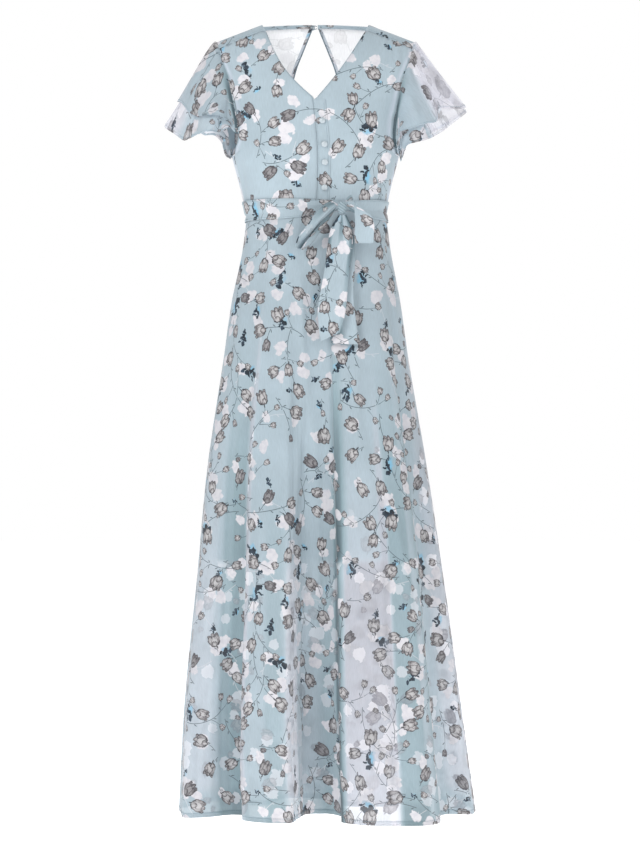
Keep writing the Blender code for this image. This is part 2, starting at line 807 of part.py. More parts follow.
def armhole_edge(side):
    """Armhole from the front underarm over the shoulder to the back underarm."""
    sign = 1 if side == "left" else -1
    downs = np.concatenate([[238], np.linspace(225, 55, 10), [44, 36, 31.5]]) * MM
    half = column(BODICE, "half_width", downs)
    across = np.minimum(spline(downs, ARMHOLE["down"], ARMHOLE["across"]), half - 0.02 * MM)
    across[0] = half[0] - 2 * MM
    front = np.stack([across, -depth_of(across, -downs, False), -downs], axis=1)
    back = np.stack([across, depth_of(across, -downs, True), -downs], axis=1)[::-1]
    path = np.concatenate([front, back[1:]])
    path[:, 0] *= sign
    return path


def flounce(side, hem_rows, shares, reaches):
    """Lower tier of a sleeve: shares run along its seam, reaches[row, column] from seam to hem."""
    sign = 1 if side == "left" else -1
    edge = armhole_edge(side)
    start, end = SLEEVE_SPAN[side]
    root = spline(start + (end - start) * shares, chords(edge), edge)
    root[:, 0] += sign * SLEEVE_CLEAR
    rows = np.array(hem_rows, float)
    places = rows[:, 1:] * [MM, MM, -MM]
    hem = spline(shares, rows[:, 0], places)
    over = np.sin(np.pi * shares)
    swell = SLEEVE_SWELL[side] * np.sin(np.pi * reaches**0.6)
    grid = root[None] + (hem - root)[None] * reaches[..., None]
    grid[..., 0] += sign * swell * (0.4 + 0.6 * over)
    grid[..., 2] += swell * 0.8 * over
    return grid


def add_sleeves():
    """Two tiers of each flutter sleeve, both set into the armhole, the upper one over the lower."""
    tiers = {
        "left": (SLEEVE_LOWER_LEFT, SLEEVE_UPPER_LEFT),
        "right": (SLEEVE_LOWER_RIGHT, SLEEVE_UPPER_RIGHT),
    }
    for side, (lower_rows, upper_rows) in tiers.items():
        inside = ((1 if side == "left" else -1) * 0.15, 0, -0.3)
        shares = np.linspace(0, 1, 33)
        reaches = np.linspace(0, 1, 5)[:, None] + 0 * shares
        lower = flounce(side, lower_rows, shares, reaches)
        add_cloth("sleeve_lower_" + side, lower, inside, wall=SLEEVE_WALL)
        shares = np.linspace(0.02, 0.98, 29)
        rows = np.array(upper_rows, float)
        length = spline(shares, rows[:, 0], rows[:, 1])
        stand_off = spline(shares, rows[:, 0], rows[:, 2]) * MM
        share_down = np.linspace(0, 1, 4)[:, None]
        under = flounce(side, lower_rows, shares, share_down * length)
        over = moved_in(under, -1, inside) - under
        upper = under + (TIER_GAP + stand_off * share_down**1.5)[..., None] * over
        add_cloth("sleeve_upper_" + side, upper, inside, wall=SLEEVE_WALL)


def seam_to_seam(start, end, columns, clear):
    """Shares along the hem from one seam to the next, clear of both."""
    shares = np.linspace(start, end, columns + 1)
    shares[0] += clear
    shares[-1] -= clear
    return shares


def add_skirt():
    """Front and four back gores, over a lining of two panels that ends at the knee."""
    for name, (part, start, end, columns) in SKIRT_PANELS.items():
        shares = seam_to_seam(start, end, columns, SKIRT_SEAM)
        add_cloth(name, skirt_grid(part, shares, SKIRT_LEVELS), HIPS)
    halves = []
    for part, start, end, columns in LINING_PANELS.values():
        shares = seam_to_seam(start, end, columns, LINING_SEAM)
        halves.append(skirt_grid(part, shares, LINING_LEVELS))
    ring = np.concatenate(halves, axis=1)
    outer = moved_in(ring, LINING_CLEAR, HIPS, True)
    inner = moved_in(ring, LINING_CLEAR + LINING_WALL, HIPS, True)
    first = 0
    for name, half in zip(LINING_PANELS, halves):
        last = first + half.shape[1]
        points, faces = cloth_mesh(outer[:, first:last], inner[:, first:last], False)
        add_object(name, points, faces, LINING_COLOUR)
        first = last


def add_belt():
    """Band round the waist, squeezed where it runs into the knot."""
    angles = np.linspace(-math.pi, math.pi, 49)[:-1]
    squeeze = np.exp(-((angles - math.radians(KNOT_TURN)) / math.radians(22)) ** 2)
    rows = []
    for share in (0, 0.5, 1):
        top = BELT_TOP + 0.2 * BELT_SQUEEZE * squeeze
        down = top + (BELT_HEIGHT - BELT_SQUEEZE * squeeze) * share
        lower = skirt_base(angles, -np.maximum(down, WAIST))
        behind = np.abs(angles) > math.pi / 2
        turn = np.where(behind, np.sign(angles) * math.pi - angles, angles)
        upper = on_body(turn, -np.minimum(down, WAIST), behind)
        ring = np.where((down < WAIST)[:, None], upper, lower)
        ring[:, 2] = -down
        rows.append(ring)
    waist = (0, 0, -WAIST)
    add_cloth("belt", moved_in(np.array(rows), -BELT_CLEAR, waist, True), waist, True)


def ribbon_grid(rows, steps, columns):
    rows = np.array(rows, float) * MM
    middle = rows[:, :3] * [1, 1, -1]
    half = rows[:, 3:] * [1, 1, -1]
    knots = chords(middle)
    shares = np.linspace(0, 1, steps + 1)
    middle = spline(shares, knots, middle)
    half = spline(shares, knots, half)
    place = np.linspace(-1, 1, columns + 1)
    return middle[:, None] + half[:, None] * place[None, :, None]


def add_bow():
    """Two tails and two loops round a knot, in front of the belt."""
    add_cloth("bow_tail_front", ribbon_grid(TAIL_FRONT, 12, 3), HIPS)
    add_cloth("bow_tail_back", ribbon_grid(TAIL_BACK, 12, 3), HIPS)
    add_cloth("bow_loop_right", ribbon_grid(LOOP_RIGHT, 18, 2), (-0.01, -0.126, -0.382))
    add_cloth("bow_loop_left", ribbon_grid(LOOP_LEFT, 18, 2), (0.08, -0.124, -0.37))
    rings = 7
    steps = 14
    profile = [(math.sin(math.pi * i / rings), -math.cos(math.pi * i / rings)) for i in range(rings + 1)]
    points, faces = revolved(profile, steps)
    points = points * KNOT_HALF + [KNOT["across"], KNOT["depth"], -KNOT["down"]]
    add_object("bow_knot", points, faces)


def main():
    clear_scene()
    add_bodice()
    add_placket()
    add_buttons()
    add_keyhole_binding()
    add_neckband()
    add_sleeves()
    add_skirt()
    add_belt()
    add_bow()


main()
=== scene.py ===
import math
from functools import partial

import bmesh
import bpy
import numpy as np
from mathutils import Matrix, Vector, kdtree


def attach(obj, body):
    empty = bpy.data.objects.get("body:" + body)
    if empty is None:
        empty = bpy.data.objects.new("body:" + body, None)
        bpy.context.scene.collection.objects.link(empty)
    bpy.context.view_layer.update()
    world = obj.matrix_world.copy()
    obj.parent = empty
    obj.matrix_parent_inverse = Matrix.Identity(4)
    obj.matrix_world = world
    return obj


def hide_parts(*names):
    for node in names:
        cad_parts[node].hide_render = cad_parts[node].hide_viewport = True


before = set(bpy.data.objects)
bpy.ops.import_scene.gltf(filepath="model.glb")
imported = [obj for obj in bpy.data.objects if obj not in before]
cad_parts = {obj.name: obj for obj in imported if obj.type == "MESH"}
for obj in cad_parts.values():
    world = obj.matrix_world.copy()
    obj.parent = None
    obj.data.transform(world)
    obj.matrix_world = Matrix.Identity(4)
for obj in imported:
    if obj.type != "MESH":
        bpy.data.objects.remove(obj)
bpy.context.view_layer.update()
mm = 0.001

# Maxi dress in printed crepe chiffon, in metres. The origin lies between the two high shoulder
# points, +X is the wearer's left and the front faces -Y.

sizes = {
    "shoulderHalf": 178.5 * mm,
    "neckHalf": 97 * mm,
    "shoulderDrop": 31 * mm,
    "vDepth": 146 * mm,
    "vBelly": {"right": 13 * mm, "left": 5 * mm},
    "underarm": 240 * mm,
    "waist": 345 * mm,
    "liningHem": 965 * mm,
    "hem": 1425 * mm,
    "roundFront": 110 * mm,
    "roundBack": 90 * mm,
    "yokeSeamFront": 16 * mm,
    "yokeSeamBack": 10 * mm,
    "neckbandHeight": 9 * mm,
    "keyholeDepth": 168 * mm,
    "seamGap": 0.5 * mm,
    "roundness": 2.3,  # 2 would be an ellipse, more is squarer
}
chest = (0, 0, -0.2)  # points inside the form, away from which cloth faces
hips = (0.01, 0, -0.9)
sides = {"left": 1, "right": -1}  # the wearer's, and where each lies along X


# ---- curves and tables ----


def table(columns, rows):
    values = np.array(rows, float) * mm
    return {name: values[:, i] for i, name in enumerate(columns.split())}


def spline(at, knots, values):
    # smooth curve through the values at the knots, read at the places in at
    knots = np.asarray(knots, float)
    values = np.asarray(values, float)
    if values.ndim == 1:
        return spline(at, knots, values[:, None])[..., 0]
    at = np.clip(np.asarray(at, float), knots[0], knots[-1])
    steps = np.diff(knots)[:, None]
    slopes = np.diff(values, axis=0) / steps
    tangents = np.empty_like(values)
    tangents[0] = slopes[0]
    tangents[-1] = slopes[-1]
    tangents[1:-1] = (slopes[:-1] * steps[1:] + slopes[1:] * steps[:-1]) / (steps[1:] + steps[:-1])
    piece = np.clip(np.searchsorted(knots, at, side="right") - 1, 0, len(knots) - 2)
    width = steps[piece]
    share = (at - knots[piece])[..., None] / width
    out = (2 * share**3 - 3 * share**2 + 1) * values[piece]
    out = out + (share**3 - 2 * share**2 + share) * width * tangents[piece]
    out = out + (3 * share**2 - 2 * share**3) * values[piece + 1]
    return out + (share**3 - share**2) * width * tangents[piece + 1]


def reachOf(points):
    # length of a path up to each of its points
    return np.concatenate([[0], np.cumsum(np.linalg.norm(np.diff(points, axis=0), axis=1))])


def chords(points):
    # the same as a share of its whole length
    reached = reachOf(points)
    return reached / reached[-1]


def unit(vectors):
    return vectors / np.maximum(np.linalg.norm(vectors, axis=-1, keepdims=True), 1e-12)


def towards(angle):
    return np.array([math.cos(angle), math.sin(angle)])


def smoothStep(value):
    value = np.clip(value, 0, 1)
    return value * value * (3 - 2 * value)


# ---- colours and nodes ----


def linear(code):
    # sRGB hex to the linear colour that the shaders take
    parts = [int(code[i:i + 2], 16) / 255 for i in (1, 3, 5)]
    return tuple(c / 12.92 if c <= 0.04045 else ((c + 0.055) / 1.055) ** 2.4 for c in parts) + (1,)


def feed(tree, node, feeds):
    # links or sets a node's inputs, by name or number; a list feeds them in their order
    for name, value in (feeds if isinstance(feeds, dict) else dict(enumerate(feeds))).items():
        if isinstance(value, bpy.types.Node):
            value = value.outputs[0]
        if isinstance(value, bpy.types.NodeSocket):
            tree.links.new(value, node.inputs[name])
        else:
            node.inputs[name].default_value = value
    return node


def addNode(tree, kind, feeds=(), operation=None, **settings):
    node = tree.nodes.new("ShaderNode" + kind)
    if operation:
        settings["operation"] = operation
    for name, value in settings.items():
        setattr(node, name, value)
    return feed(tree, node, feeds)


def startGroup(name, inputs, outputs):
    tree = bpy.data.node_groups.new(name, "ShaderNodeTree")
    for way, sockets in (("INPUT", inputs), ("OUTPUT", outputs)):
        for socket, kind in sockets.items():
            tree.interface.new_socket(socket, in_out=way, socket_type="NodeSocket" + kind)
    start, end = (tree.nodes.new("NodeGroup" + way) for way in ("Input", "Output"))
    return tree, partial(addNode, tree), start, end


def startMaterial(name):
    material = bpy.data.materials.new(name)
    material.use_nodes = True
    material.node_tree.nodes.clear()
    return material, partial(addNode, material.node_tree)


# ---- the print: where its motifs lie on the cloth ----

# Tulip buds on curved stems, pale blossoms below them and dark sprigs, drawn for this cloth in a
# layout of its own that repeats after width and height.
printLayout = {
    "width": 0.46,
    "height": 0.52,
    "seed": 23,
    "tulips": 116,
    "onStems": 0.6,  # share of them that sit on long stems; the others fill the gaps on short ones
    "tulipRadius": (15.5 * mm, 20.5 * mm),
    "buds": 0.38,  # share of them that are small round buds, and their size
    "budSize": 0.5,
    "stemLength": (70 * mm, 150 * mm),
    "stemBend": (7, 15),  # 1/m
    "shootLength": (14 * mm, 30 * mm),
    "shootsAt": (0.3, 0.55, 0.8),  # places of side shoots along a stem, and how often they grow
    "shootChance": 0.8,
    "neck": 9 * mm,  # from a stem's end to the middle of its tulip
    "layerRoom": 1.7,  # times a tulip's radius between neighbours in one layer
    "overlap": 0.66,  # times both radii at least between any two tulips
    "twigs": 22,  # short pale stems by the blossoms
    "twigLength": (22 * mm, 55 * mm),
    "blossoms": 74,
    "blossomRadius": (12 * mm, 20 * mm),
    "blossomSpace": 17 * mm,
    "blossomsByTulips": 0.6,  # share of them that lie beside a tulip, this far from it
    "besideTulip": (13, 22),  # mm
    "sprigs": 34,
    "sprigRadius": (16 * mm, 23 * mm),
    "sprigSpace": 34 * mm,
    "sprigClear": 13 * mm,  # of tulips
    "smallSprigs": 0.5,  # every second one is half as large
    "tries": 3000,
    "step": 3 * mm,
    "fade": 14 * mm,  # stems are drawn only on faces this close to them
    "paleMark": 10,  # m, added to the length left of pale stems to tell them from the others
}


def apart(spot, others):
    # distance to the nearest of the others across the edges of the repeat
    if not others:
        return 1.0
    period = np.array([printLayout["width"], printLayout["height"]])
    off = np.abs(np.array(others) - spot) % period
    return np.linalg.norm(np.minimum(off, period - off), axis=1).min()


def drawStem(start, heading, length, bend, swing):
    # points of a stem whose bend slowly changes by swing
    steps = max(int(length / printLayout["step"]), 4)
    points = [np.array(start, float)]
    for i in range(steps):
        heading += (bend + swing * math.sin(2.2 * math.pi * i / steps)) * length / steps
        points.append(points[-1] + length / steps * towards(heading))
    return np.array(points), heading


def layOutPrint():
    p = printLayout
    rng = np.random.default_rng(p["seed"])
    size = np.array([p["width"], p["height"]])
    tulips, stems, sprigs, blossoms = [], [], [], []

    def addTulip(spot, heading):
        # in the layer where its neighbours are far enough to be drawn whole
        radius = rng.uniform(*p["tulipRadius"]) * (p["budSize"] if rng.random() < p["buds"] else 1)
        layers = []
        for layer in (0, 1):
            room = [apart(spot, [t["spot"]]) / (p["layerRoom"] * max(radius, t["radius"]))
                    for t in tulips if t["layer"] == layer]
            layers.append((min(room, default=9), layer))
        if max(layers)[0] < 1:
            return False
        if any(apart(spot, [t["spot"]]) < p["overlap"] * (radius + t["radius"]) for t in tulips):
            return False
        tulips.append({"spot": spot % size, "turn": heading - math.pi / 2, "radius": radius,
                       "seed": rng.random(), "layer": max(layers)[1]})
        return True

    tries = 0
    while len(tulips) < p["tulips"] * p["onStems"] and tries < p["tries"]:
        tries += 1
        start = rng.random(2) * size
        heading = rng.uniform(0, 2 * math.pi)
        bend = rng.uniform(*p["stemBend"]) * rng.choice([-1, 1])
        length = rng.uniform(*p["stemLength"])
        stem, end = drawStem(start, heading, length, bend, rng.uniform(-8, 8))
        if not addTulip(stem[-1] + p["neck"] * towards(end), end):
            continue
        stems.append(stem)
        for share in p["shootsAt"]:
            at = int(share * (len(stem) - 1))
            along = stem[at + 1] - stem[at]
            side = rng.choice([-1, 1])
            turn = math.atan2(along[1], along[0]) + side * rng.uniform(0.5, 0.9)
            shoot, out = drawStem(stem[at], turn, rng.uniform(*p["shootLength"]), side * rng.uniform(5, 25), 0)
            if rng.random() < p["shootChance"] and addTulip(shoot[-1] + p["neck"] * towards(out), out):
                stems.append(shoot)
    tries = 0
    while len(tulips) < p["tulips"] and tries < p["tries"]:
        tries += 1
        places = rng.random((12, 2)) * size
        rooms = [apart(place, [t["spot"] for t in tulips]) for place in places]
        spot = places[int(np.argmax(rooms))]
        heading = rng.uniform(0, 2 * math.pi)
        if addTulip(spot, heading):
            length = rng.uniform(*p["shootLength"]) * 1.6
            stem, end = drawStem(spot, heading + math.pi, length, rng.uniform(-20, 20), 0)
            stems.append(stem[::-1][:-3])
    for kind, spots in (("sprig", sprigs), ("blossom", blossoms)):
        tries = 0
        while len(spots) < p[kind + "s"] and tries < p["tries"]:
            tries += 1
            spot = rng.random(2) * size
            if kind == "blossom" and rng.random() < p["blossomsByTulips"]:
                angle = rng.uniform(0, 2 * math.pi)
                beside = tulips[rng.integers(len(tulips))]["spot"]
                spot = (beside + rng.uniform(*p["besideTulip"]) * mm * towards(angle)) % size
            room = apart(spot, [s["spot"] for s in spots])
            clear = apart(spot, [t["spot"] for t in tulips])
            if room < p[kind + "Space"] or (kind == "sprig" and clear < p["sprigClear"]):
                continue
            small = kind == "sprig" and len(spots) % 2 == 1
            spots.append({"spot": spot, "turn": rng.uniform(0, 2 * math.pi), "seed": rng.random(),
                          "radius": rng.uniform(*p[kind + "Radius"]) * (p["smallSprigs"] if small else 1)})
    paleFrom = len(stems)
    for blossom in blossoms[:p["twigs"]]:
        length = rng.uniform(*p["twigLength"])
        stems.append(drawStem(blossom["spot"], blossom["turn"], length, rng.uniform(-18, 18), 4)[0])
    layers = {name: [t for t in tulips if t["layer"] == i] for i, name in enumerate(("tulipA", "tulipB"))}
    return {**layers, "sprig": sprigs, "blossom": blossoms}, stems, paleFrom


def padded(points):
    # the points and their copies in the neighbouring repeats
    shifts = [(i * printLayout["width"], j * printLayout["height"]) for i in (-1, 0, 1) for j in (-1, 0, 1)]
    return np.concatenate([np.asarray(points) + shift for shift in shifts])


def treeOf(points):
    tree = kdtree.KDTree(len(points))
    for i, (x, y) in enumerate(points):
        tree.insert((x, y, 0), i)
    tree.balance()
    return tree


motifLayers, stemPaths, palePathsFrom = layOutPrint()
motifTrees = {}
for layerName, motifs in motifLayers.items():
    spots = padded([m["spot"] for m in motifs])
    facts = np.array([(m["turn"], m["radius"], m["seed"]) for m in motifs])
    motifTrees[layerName] = (treeOf(spots), spots, np.tile(facts, (9, 1)))

stemPoints = padded(np.concatenate([path[:-1] for path in stemPaths]))
stemEnds = padded(np.concatenate([path[1:] for path in stemPaths]))
stemNumber = np.tile(np.concatenate([np.full(len(path) - 1, i) for i, path in enumerate(stemPaths)]), 9)
stemReach = []
stemLeft = []
for path in stemPaths:
    before = reachOf(path)
    stemReach.append(before[:-1])
    stemLeft.append(before[-1] - before[:-1])
stemReach = np.tile(np.concatenate(stemReach), 9)
stemLeft = np.tile(np.concatenate(stemLeft), 9)
stemCopy = np.repeat(np.arange(9), len(stemNumber) // 9)
stemTree = treeOf((stemPoints + stemEnds) / 2)
print("print laid out:", {name: len(m) for name, m in motifLayers.items()}, len(stemPaths), "stems")


def motifPlaces(corners):
    # corners[face, corner] on the cloth: where each lies within its face's nearest motif
    size = np.array([printLayout["width"], printLayout["height"]])
    middle = corners.mean(axis=1)
    base = np.floor(middle / size) * size
    middle = middle - base
    corners = corners - base[:, None]
    places = {}
    for name, (tree, spots, facts) in motifTrees.items():
        nearest = np.array([tree.find((x, y, 0))[1] for x, y in middle])
        turn, radius, seed = facts[nearest].T
        off = (corners - spots[nearest][:, None]) / radius[:, None, None]
        cos = np.cos(turn)[:, None]
        sin = np.sin(turn)[:, None]
        local = np.empty(corners.shape[:2] + (3,))
        local[..., 0] = off[..., 0] * cos + off[..., 1] * sin
        local[..., 1] = -off[..., 0] * sin + off[..., 1] * cos
        local[..., 2] = seed[:, None]
        far = np.linalg.norm(local[..., :2], axis=2).min(axis=1) > 1.4
        local[far] = (9, 9, 0)
        places[name] = local
    found = [stemTree.find((x, y, 0)) for x, y in middle]
    nearest = np.array([hit[1] for hit in found])
    distance = np.array([hit[2] for hit in found])
    window = np.clip(nearest[:, None] + np.arange(-5, 6)[None, :], 0, len(stemNumber) - 1)
    near = nearest[:, None]
    same = (stemNumber[window] == stemNumber[near]) & (stemCopy[window] == stemCopy[near])
    window = np.where(same, window, near)
    start = stemPoints[window][:, None]
    along = (stemEnds - stemPoints)[window][:, None]
    length = np.linalg.norm(along, axis=-1)
    along = along / length[..., None]
    off = corners[:, :, None] - start
    reach = (off * along).sum(axis=-1)
    side = along[..., 0] * off[..., 1] - along[..., 1] * off[..., 0]
    beyond = np.maximum(np.maximum(-reach, reach - length), 0)
    first = (window == window.min(axis=1)[:, None])[:, None] & (reach < 0)
    last = (window == window.max(axis=1)[:, None])[:, None] & (reach > 0)
    atRoot = (stemReach[window] < 1e-6)[:, None]
    atTip = (stemLeft[window] < 1.1 * length[:, 0])[:, None]
    edge = atRoot & first | atTip & last
    total = np.hypot(side, np.where(edge, 0, beyond))
    best = total.argmin(axis=2)[..., None]

    def atBest(values):
        return np.take_along_axis(np.broadcast_to(values, reach.shape), best, axis=2)[..., 0]

    stem = np.stack([atBest(np.sign(side) * total), atBest(stemReach[window][:, None]) + atBest(reach),
                     atBest(stemLeft[window][:, None]) - atBest(reach)], axis=-1)
    stem[stemNumber[nearest] >= palePathsFrom, :, 2] += printLayout["paleMark"]
    stem[distance > printLayout["fade"]] = (9, -1, -1)
    places["stem"] = stem
    return places


# ---- the print: how its motifs are drawn ----

# Petals from the back of a tulip bud to its front, in shares of its radius: place, lean in
# degrees, half width, half length, and how light it is
tulipPetals = [
    (0.03, 0.40, 4, 0.25, 0.36, 0.20), (-0.31, 0.26, 24, 0.25, 0.46, 0.36),
    (0.34, 0.24, -26, 0.25, 0.44, 0.28), (-0.27, -0.10, 13, 0.37, 0.62, 0.44),
    (0.30, -0.12, -15, 0.35, 0.60, 0.36), (0.02, -0.14, 2, 0.36, 0.56, 0.66),
    (-0.12, -0.46, 26, 0.33, 0.32, 0.42),
]
# Narrow dark sepals round its foot: place, lean, half width and half length
tulipSepals = [
    (-0.34, -0.60, 52, 0.07, 0.30), (0.37, -0.52, -48, 0.07, 0.32), (0.00, -0.82, 5, 0.08, 0.22),
]
# Leaves and drops of a dark sprig: place, lean, half width, half length
sprigLeaves = [
    (0.04, 0.56, 16, 0.24, 0.34), (-0.30, 0.26, 62, 0.13, 0.32), (0.16, 0.02, -34, 0.22, 0.38),
    (-0.14, -0.34, 24, 0.20, 0.34), (0.12, -0.70, -20, 0.11, 0.30),
]
inks = {name: linear(code) for name, code in {
    "petalDark": "#5D5A5C",
    "petalMid": "#8C8889",
    "petalLight": "#C3C1C2",
    "petalLine": "#343135",
    "budDark": "#48454B",
    "sepal": "#353338",
    "blossom": "#DEDCE0",
    "blossomShade": "#D0CFD6",
    "leaf": "#1F2933",
    "leafPale": "#3A4959",
    "blue": "#84BEDB",
    "stem": "#4C585E",
}.items()}


def petalPlace(add, place, petal):
    # the place in the petal's own measure: from its middle, with its half sizes as 1
    x, y, lean, halfWidth, halfLength = petal[:5]
    return add("Mapping", {"Vector": place, "Location": (x, y, 0), "Rotation": (0, 0, math.radians(lean)),
                           "Scale": (halfWidth, halfLength, 1)}, vector_type="TEXTURE")


def ovalShape(add, place, petal):
    # below 1 inside a round petal
    return add("VectorMath", [petalPlace(add, place, petal)], "LENGTH").outputs["Value"]


def petalShape(add, place, petal):
    # below 1 inside a petal with pointed ends
    parts = add("SeparateXYZ", [petalPlace(add, place, petal)])
    across = add("Math", [parts.outputs[0]], "ABSOLUTE")
    return add("Math", [parts.outputs[1], parts.outputs[1], across], "MULTIPLY_ADD")


def seededNoise(add, place, spread, scale, detail, roughness=0.5):
    # a motif's place in parts and noise that differs with its seed, then the shift and the place behind it
    parts = add("SeparateXYZ", [place])
    shift = add("Math", [parts.outputs[2], spread], "MULTIPLY")
    seeded = add("CombineXYZ", [parts.outputs[0], parts.outputs[1], shift])
    noise = add("TexNoise", {"Vector": seeded, "Scale": scale, "Detail": detail, "Roughness": roughness})
    return parts, noise, shift, seeded


def wobbled(add, place, noise, amount):
    centred = add("VectorMath", [noise.outputs[1], (0.5, 0.5, 0.5)], "SUBTRACT")
    return add("VectorMath", [centred, (amount, amount, 0), place], "MULTIPLY_ADD")


def drawTulip():
    # an oval bud of overlapping round petals with inked edges and a light middle
    tree, add, start, end = startGroup("tulipMotif", {"Place": "Vector"}, {"Colour": "Color", "Mask": "Float"})
    parts, noise, shift, seeded = seededNoise(add, start.outputs[0], 37.0, 2.4, 3.0, 0.65)
    seed = parts.outputs[2]
    wide = add("MapRange", {0: seed, 3: 0.94, 4: 1.22})
    side = add("Math", [shift], "FRACT")
    side = add("Math", [side, 0.5], "GREATER_THAN")
    side = add("Math", [side, 2.0, -1.0], "MULTIPLY_ADD")
    across = add("Math", [parts.outputs[0], side], "MULTIPLY")
    wider = add("Math", [across, wide], "MULTIPLY")
    flat = add("CombineXYZ", [wider, parts.outputs[1]])
    place = wobbled(add, flat, noise, 0.36)
    streaks = add("Mapping", {"Vector": seeded, "Scale": (9.0, 2.2, 1.0)})
    veins = add("TexNoise", {"Vector": streaks, "Scale": 1.0, "Detail": 2.0})
    colour = mask = None
    for petal in tulipPetals:
        shape = ovalShape(add, place, petal)
        inside = add("MapRange", [shape, 1.0, 0.93])
        hollow = add("Math", [shape, -0.8, petal[5] - 0.25], "MULTIPLY_ADD")
        tone = add("Math", [veins.outputs[0], 1.7, hollow], "MULTIPLY_ADD")
        paint = add("ValToRGB", [tone])
        paint.color_ramp.elements[0].position = 0.12
        paint.color_ramp.elements[0].color = inks["petalDark"]
        paint.color_ramp.elements[1].position = 0.85
        paint.color_ramp.elements[1].color = inks["petalLight"]
        middle = paint.color_ramp.elements.new(0.45)
        middle.color = inks["petalMid"]
        line = add("MapRange", [shape, 0.80, 0.93, 0.0, 0.9])
        lined = add("MixRGB", [line, paint, inks["petalLine"]])
        if colour is None:
            colour, mask = lined, inside
            continue
        colour = add("MixRGB", [inside, colour, lined])
        mask = add("Math", [mask, inside], "MAXIMUM")
    for sepal in tulipSepals:
        shape = petalShape(add, place, sepal)
        inside = add("MapRange", [shape, 1.0, 0.7, 0.0, 0.9])
        colour = add("MixRGB", [inside, colour, inks["sepal"]])
        mask = add("Math", [mask, inside], "MAXIMUM")
    dusky = add("MapRange", [seed, 0.84, 0.9, 0.0, 0.55])
    colour = add("MixRGB", [dusky, colour, inks["budDark"]])
    feed(tree, end, [colour, mask])
    return tree


def drawSprig():
    # uneven dark leaves and drops, most with a watery blue patch beside them
    tree, add, start, end = startGroup("sprigMotif", {"Place": "Vector"}, {"Colour": "Color", "Mask": "Float"})
    parts, wobble = seededNoise(add, start.outputs[0], 53.0, 1.5, 2.0)[:2]
    seed = parts.outputs[2]
    place = wobbled(add, start.outputs[0], wobble, 1.0)
    nearest = None
    for leaf in sprigLeaves:
        shape = petalShape(add, place, leaf)
        nearest = add("Math", [nearest, shape], "MINIMUM") if nearest else shape
    leaves = add("MapRange", [nearest, 1.1, 0.9])
    ink = add("MapRange", [wobble.outputs[0], 0.45, 0.66])
    dark = add("MixRGB", [ink, inks["leaf"], inks["leafPale"]])
    patch = ovalShape(add, place, (0.28, -0.10, 14, 0.42, 0.64))
    some = add("MapRange", [seed, 0.15, 0.3])
    wash = add("MapRange", [wobble.outputs[0], 0.3, 0.7, 0.65, 1.0])
    blue = add("MapRange", [patch, 1.1, 0.7, 0.0, wash])
    blue = add("Math", [blue, some], "MULTIPLY")
    colour = add("MixRGB", [leaves, inks["blue"], dark])
    mask = add("Math", [leaves, blue], "MAXIMUM")
    feed(tree, end, [colour, mask])
    return tree


